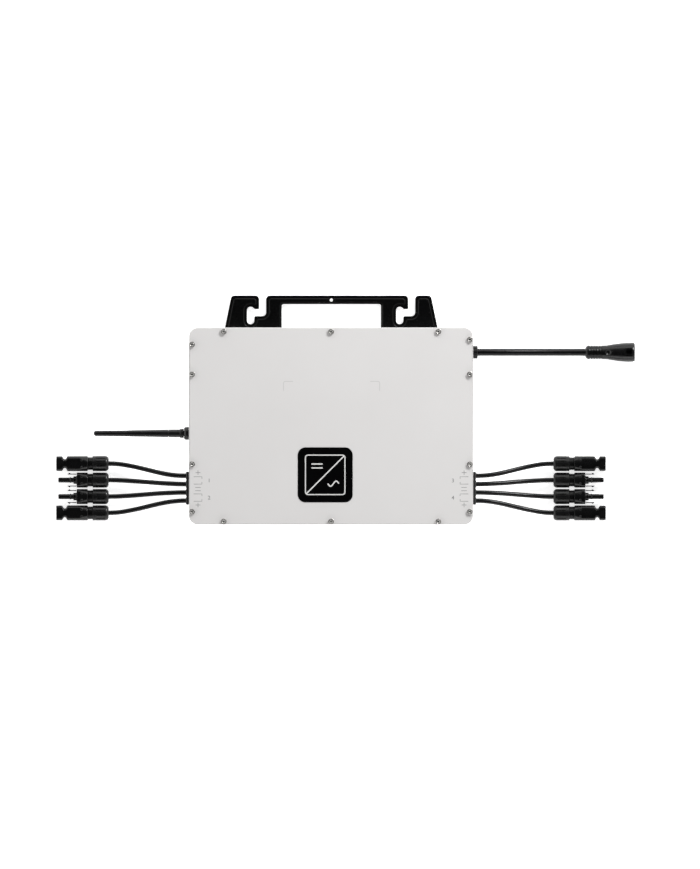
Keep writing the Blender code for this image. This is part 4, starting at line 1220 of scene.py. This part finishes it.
def plug_mesh():
    """The kind with a nose: a short square body, a collar and a hollow nose."""
    sections = body_rings(PLUG_FACE)
    sections += [(PLUG_FACE - x, HALF - inset, HALF - inset, 3.8)
                 for x, inset in ((1.6, 0), (0.9, 0), (0.3, 0.3), (0, 0.9))]
    nose = from_x(PLUG_FACE, (-2, 0), (-2, 4.7), (0.4, 4.7), (0.8, 4.4), (3.5, 4.4), (3.9, 2.9),
                  (6.0, 2.9), (6.2, 2.65), (8.0, 2.65), (8.2, 2.9))
    nose += from_x(PLUG_LENGTH, (-0.8, 2.9), (0, 2.45), (0, 0))
    bore = lathe(from_x(PLUG_LENGTH, (-9, 0), (-9, 1.9), (-0.3, 1.9), (0.2, 2.2), (0.2, 0)), 40)
    pockets = [block((PLUG_FACE - 0.35, side * ARM_OFFSET - 1.1, -3.1),
                     (PLUG_FACE + 1, side * ARM_OFFSET + 1.1, 3.1), 0.15) for side in (-1, 1)]
    return as_mesh("plug_body", combined(seamed(sections), [lathe(nose, 48, 0.25), *top_dots()],
                                         [bore, *pockets]))


def arm_mesh():
    """A snap arm along +X from its hinge, round at the root, its barb towards +Y."""
    outline = arc((0, 0), 0.6 * MM, 90, 270, 8)
    outline += in_metres((6.6, -0.5), (9.0, -0.55), (9.4, -0.3), (9.4, 0.1), (7.6, 1.35),
                         (7.0, 1.4), (6.55, 1.3), (6.5, 0.55), (5.6, 0.42), (2.0, 0.42))
    return as_mesh("snap_arm", flat_shape([outline], -2.75 * MM, 2.75 * MM, 0.12 * MM, 1))


def seal_mesh():
    """The rubber seal that shows round the cable in the mouth of the nut."""
    bore = DC_DIAMETER / 2 / MM + 0.05
    return as_mesh("cable_seal", lathe([(-0.1, bore), (-0.1, 3.0), (0.9, 3.05), (4.5, 3.05),
                                        (4.5, bore)], 48, 0.2, hollow=True))


def ring_mesh():
    """The seal ring in its groove on the nose."""
    angles = [math.tau * i / 16 for i in range(16)]
    profile = [(NOSE_SEAL_X + 0.85 * math.cos(a), 2.75 + 0.62 * math.sin(a)) for a in angles]
    return as_mesh("nose_seal", lathe(profile, 48, hollow=True))


def pin_mesh():
    """The contact pin that shows in the mouth of the socket."""
    profile = from_x(SOCKET_LENGTH, (-22.5, 0), (-22.5, 2.6), (-20.5, 2.6), (-20.5, 1.5),
                     (-7.5, 1.5), (-6.2, 0.8), (-6.0, 0))
    return as_mesh("contact_pin", lathe(profile, 32, 0.3))


def sleeve_mesh():
    """The contact tube inside the nose."""
    profile = from_x(PLUG_LENGTH, (-9.5, 1.2), (-9.5, 1.8), (-1.0, 1.8), (-0.7, 1.6), (-0.7, 1.2))
    return as_mesh("contact_sleeve", lathe(profile, 32, hollow=True))


def make_module_leads():
    nut, seal, nose_seal, arm = nut_mesh(), seal_mesh(), ring_mesh(), arm_mesh()
    bodies = {True: (socket_mesh(), pin_mesh()), False: (plug_mesh(), sleeve_mesh())}
    hinges = {joint["child"]: joint for joint in frame["joints"]}
    for side, direction in SIDES:
        for line in LINES:
            tag = f"{side}_{line}"
            node = f"dc_connector_{tag}"
            place = cable_end(node, direction)
            is_socket = line in SOCKET_LINES
            body, contact = bodies[is_socket]
            parts = [
                piece(f"module_connector_{tag}", body, "connector", stands_for=[node], place=place),
                piece(f"gland_nut_{tag}", nut, "nut", place=place),
                piece(f"cable_seal_{tag}", seal, "seal", place=place),
                piece(f"contact_{tag}", contact, "contact", place=place),
            ]
            if not is_socket:
                parts.append(piece(f"nose_seal_{tag}", nose_seal, "seal", place=place))
                for where, up in (("upper", 1), ("lower", -1)):
                    arm_node = f"snap_arm_{tag}_{where}"
                    hinge = Vector(hinges[arm_node]["pos_m"])
                    flip = Matrix.Rotation(0 if up * direction > 0 else math.pi, 4, "X")
                    parts.append(piece(f"snap_arm_moulding_{tag}_{where}", arm, "connector_arms",
                                       body=arm_node, stands_for=[arm_node],
                                       place=along_x(*hinge, direction) @ flip))


def make_grommets():
    """A rubber strip in each side wall, with a flared boot round every lead."""
    boot = [(1.0, 0), (1.0, 4.4), (3.2, 4.3), (3.6, 3.8), (3.6, 0)]
    bore = [(-7, 0), (-7, 2.8), (3.2, 2.8), (4, 3.0), (4, 0)]
    for side, direction in SIDES:
        node = f"dc_grommet_{side}"
        low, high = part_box(node)
        centre = middle(node)
        half_y, half_z = (high.y - low.y) / 2, (high.z - low.z) / 2
        strip = box_shape((0, -half_y, -half_z), (3.1 * MM, half_y, half_z), 1.0 * MM, 4)
        neck = block((-6, -17, -4.5), (1, 17, 4.5), 0.6)
        offsets = [(route[0][1] - centre.y) * direction for route in DC_ROUTES]
        boots = [moved(lathe(boot, 48, 0.3), 0, y, 0) for y in offsets]
        bores = [moved(lathe(bore, 40), 0, y, 0) for y in offsets]
        piece(f"lead_grommet_{side}", combined(strip, joined=[neck, *boots], cut=bores), "grommet",
              stands_for=[node],
              place=along_x(direction * SIDE, centre.y, EXIT_Z, direction))


# --- What stays as the frame has it ---


def paint_kept_nodes():
    """Gives the seal, the bracket screws and the electronics the finish of their slots."""
    slots = {part["node"]: part["material_slot"] for part in frame["record"]["subparts"]}
    for node, obj in frame["nodes"].items():
        if obj.hide_render:
            continue
        obj.data.materials.clear()
        obj.data.materials.append(LOOKS[slots[node]])


# --- Assembly ---

make_camera()
make_lights()
make_floor(floor_look())
lead_pieces = make_cords()
make_mains_connector()
make_module_leads()
make_grommets()
make_gland()
make_antenna()
make_cover()
make_print()
make_badge()
make_screws()
make_housing()
make_bracket()
paint_kept_nodes()
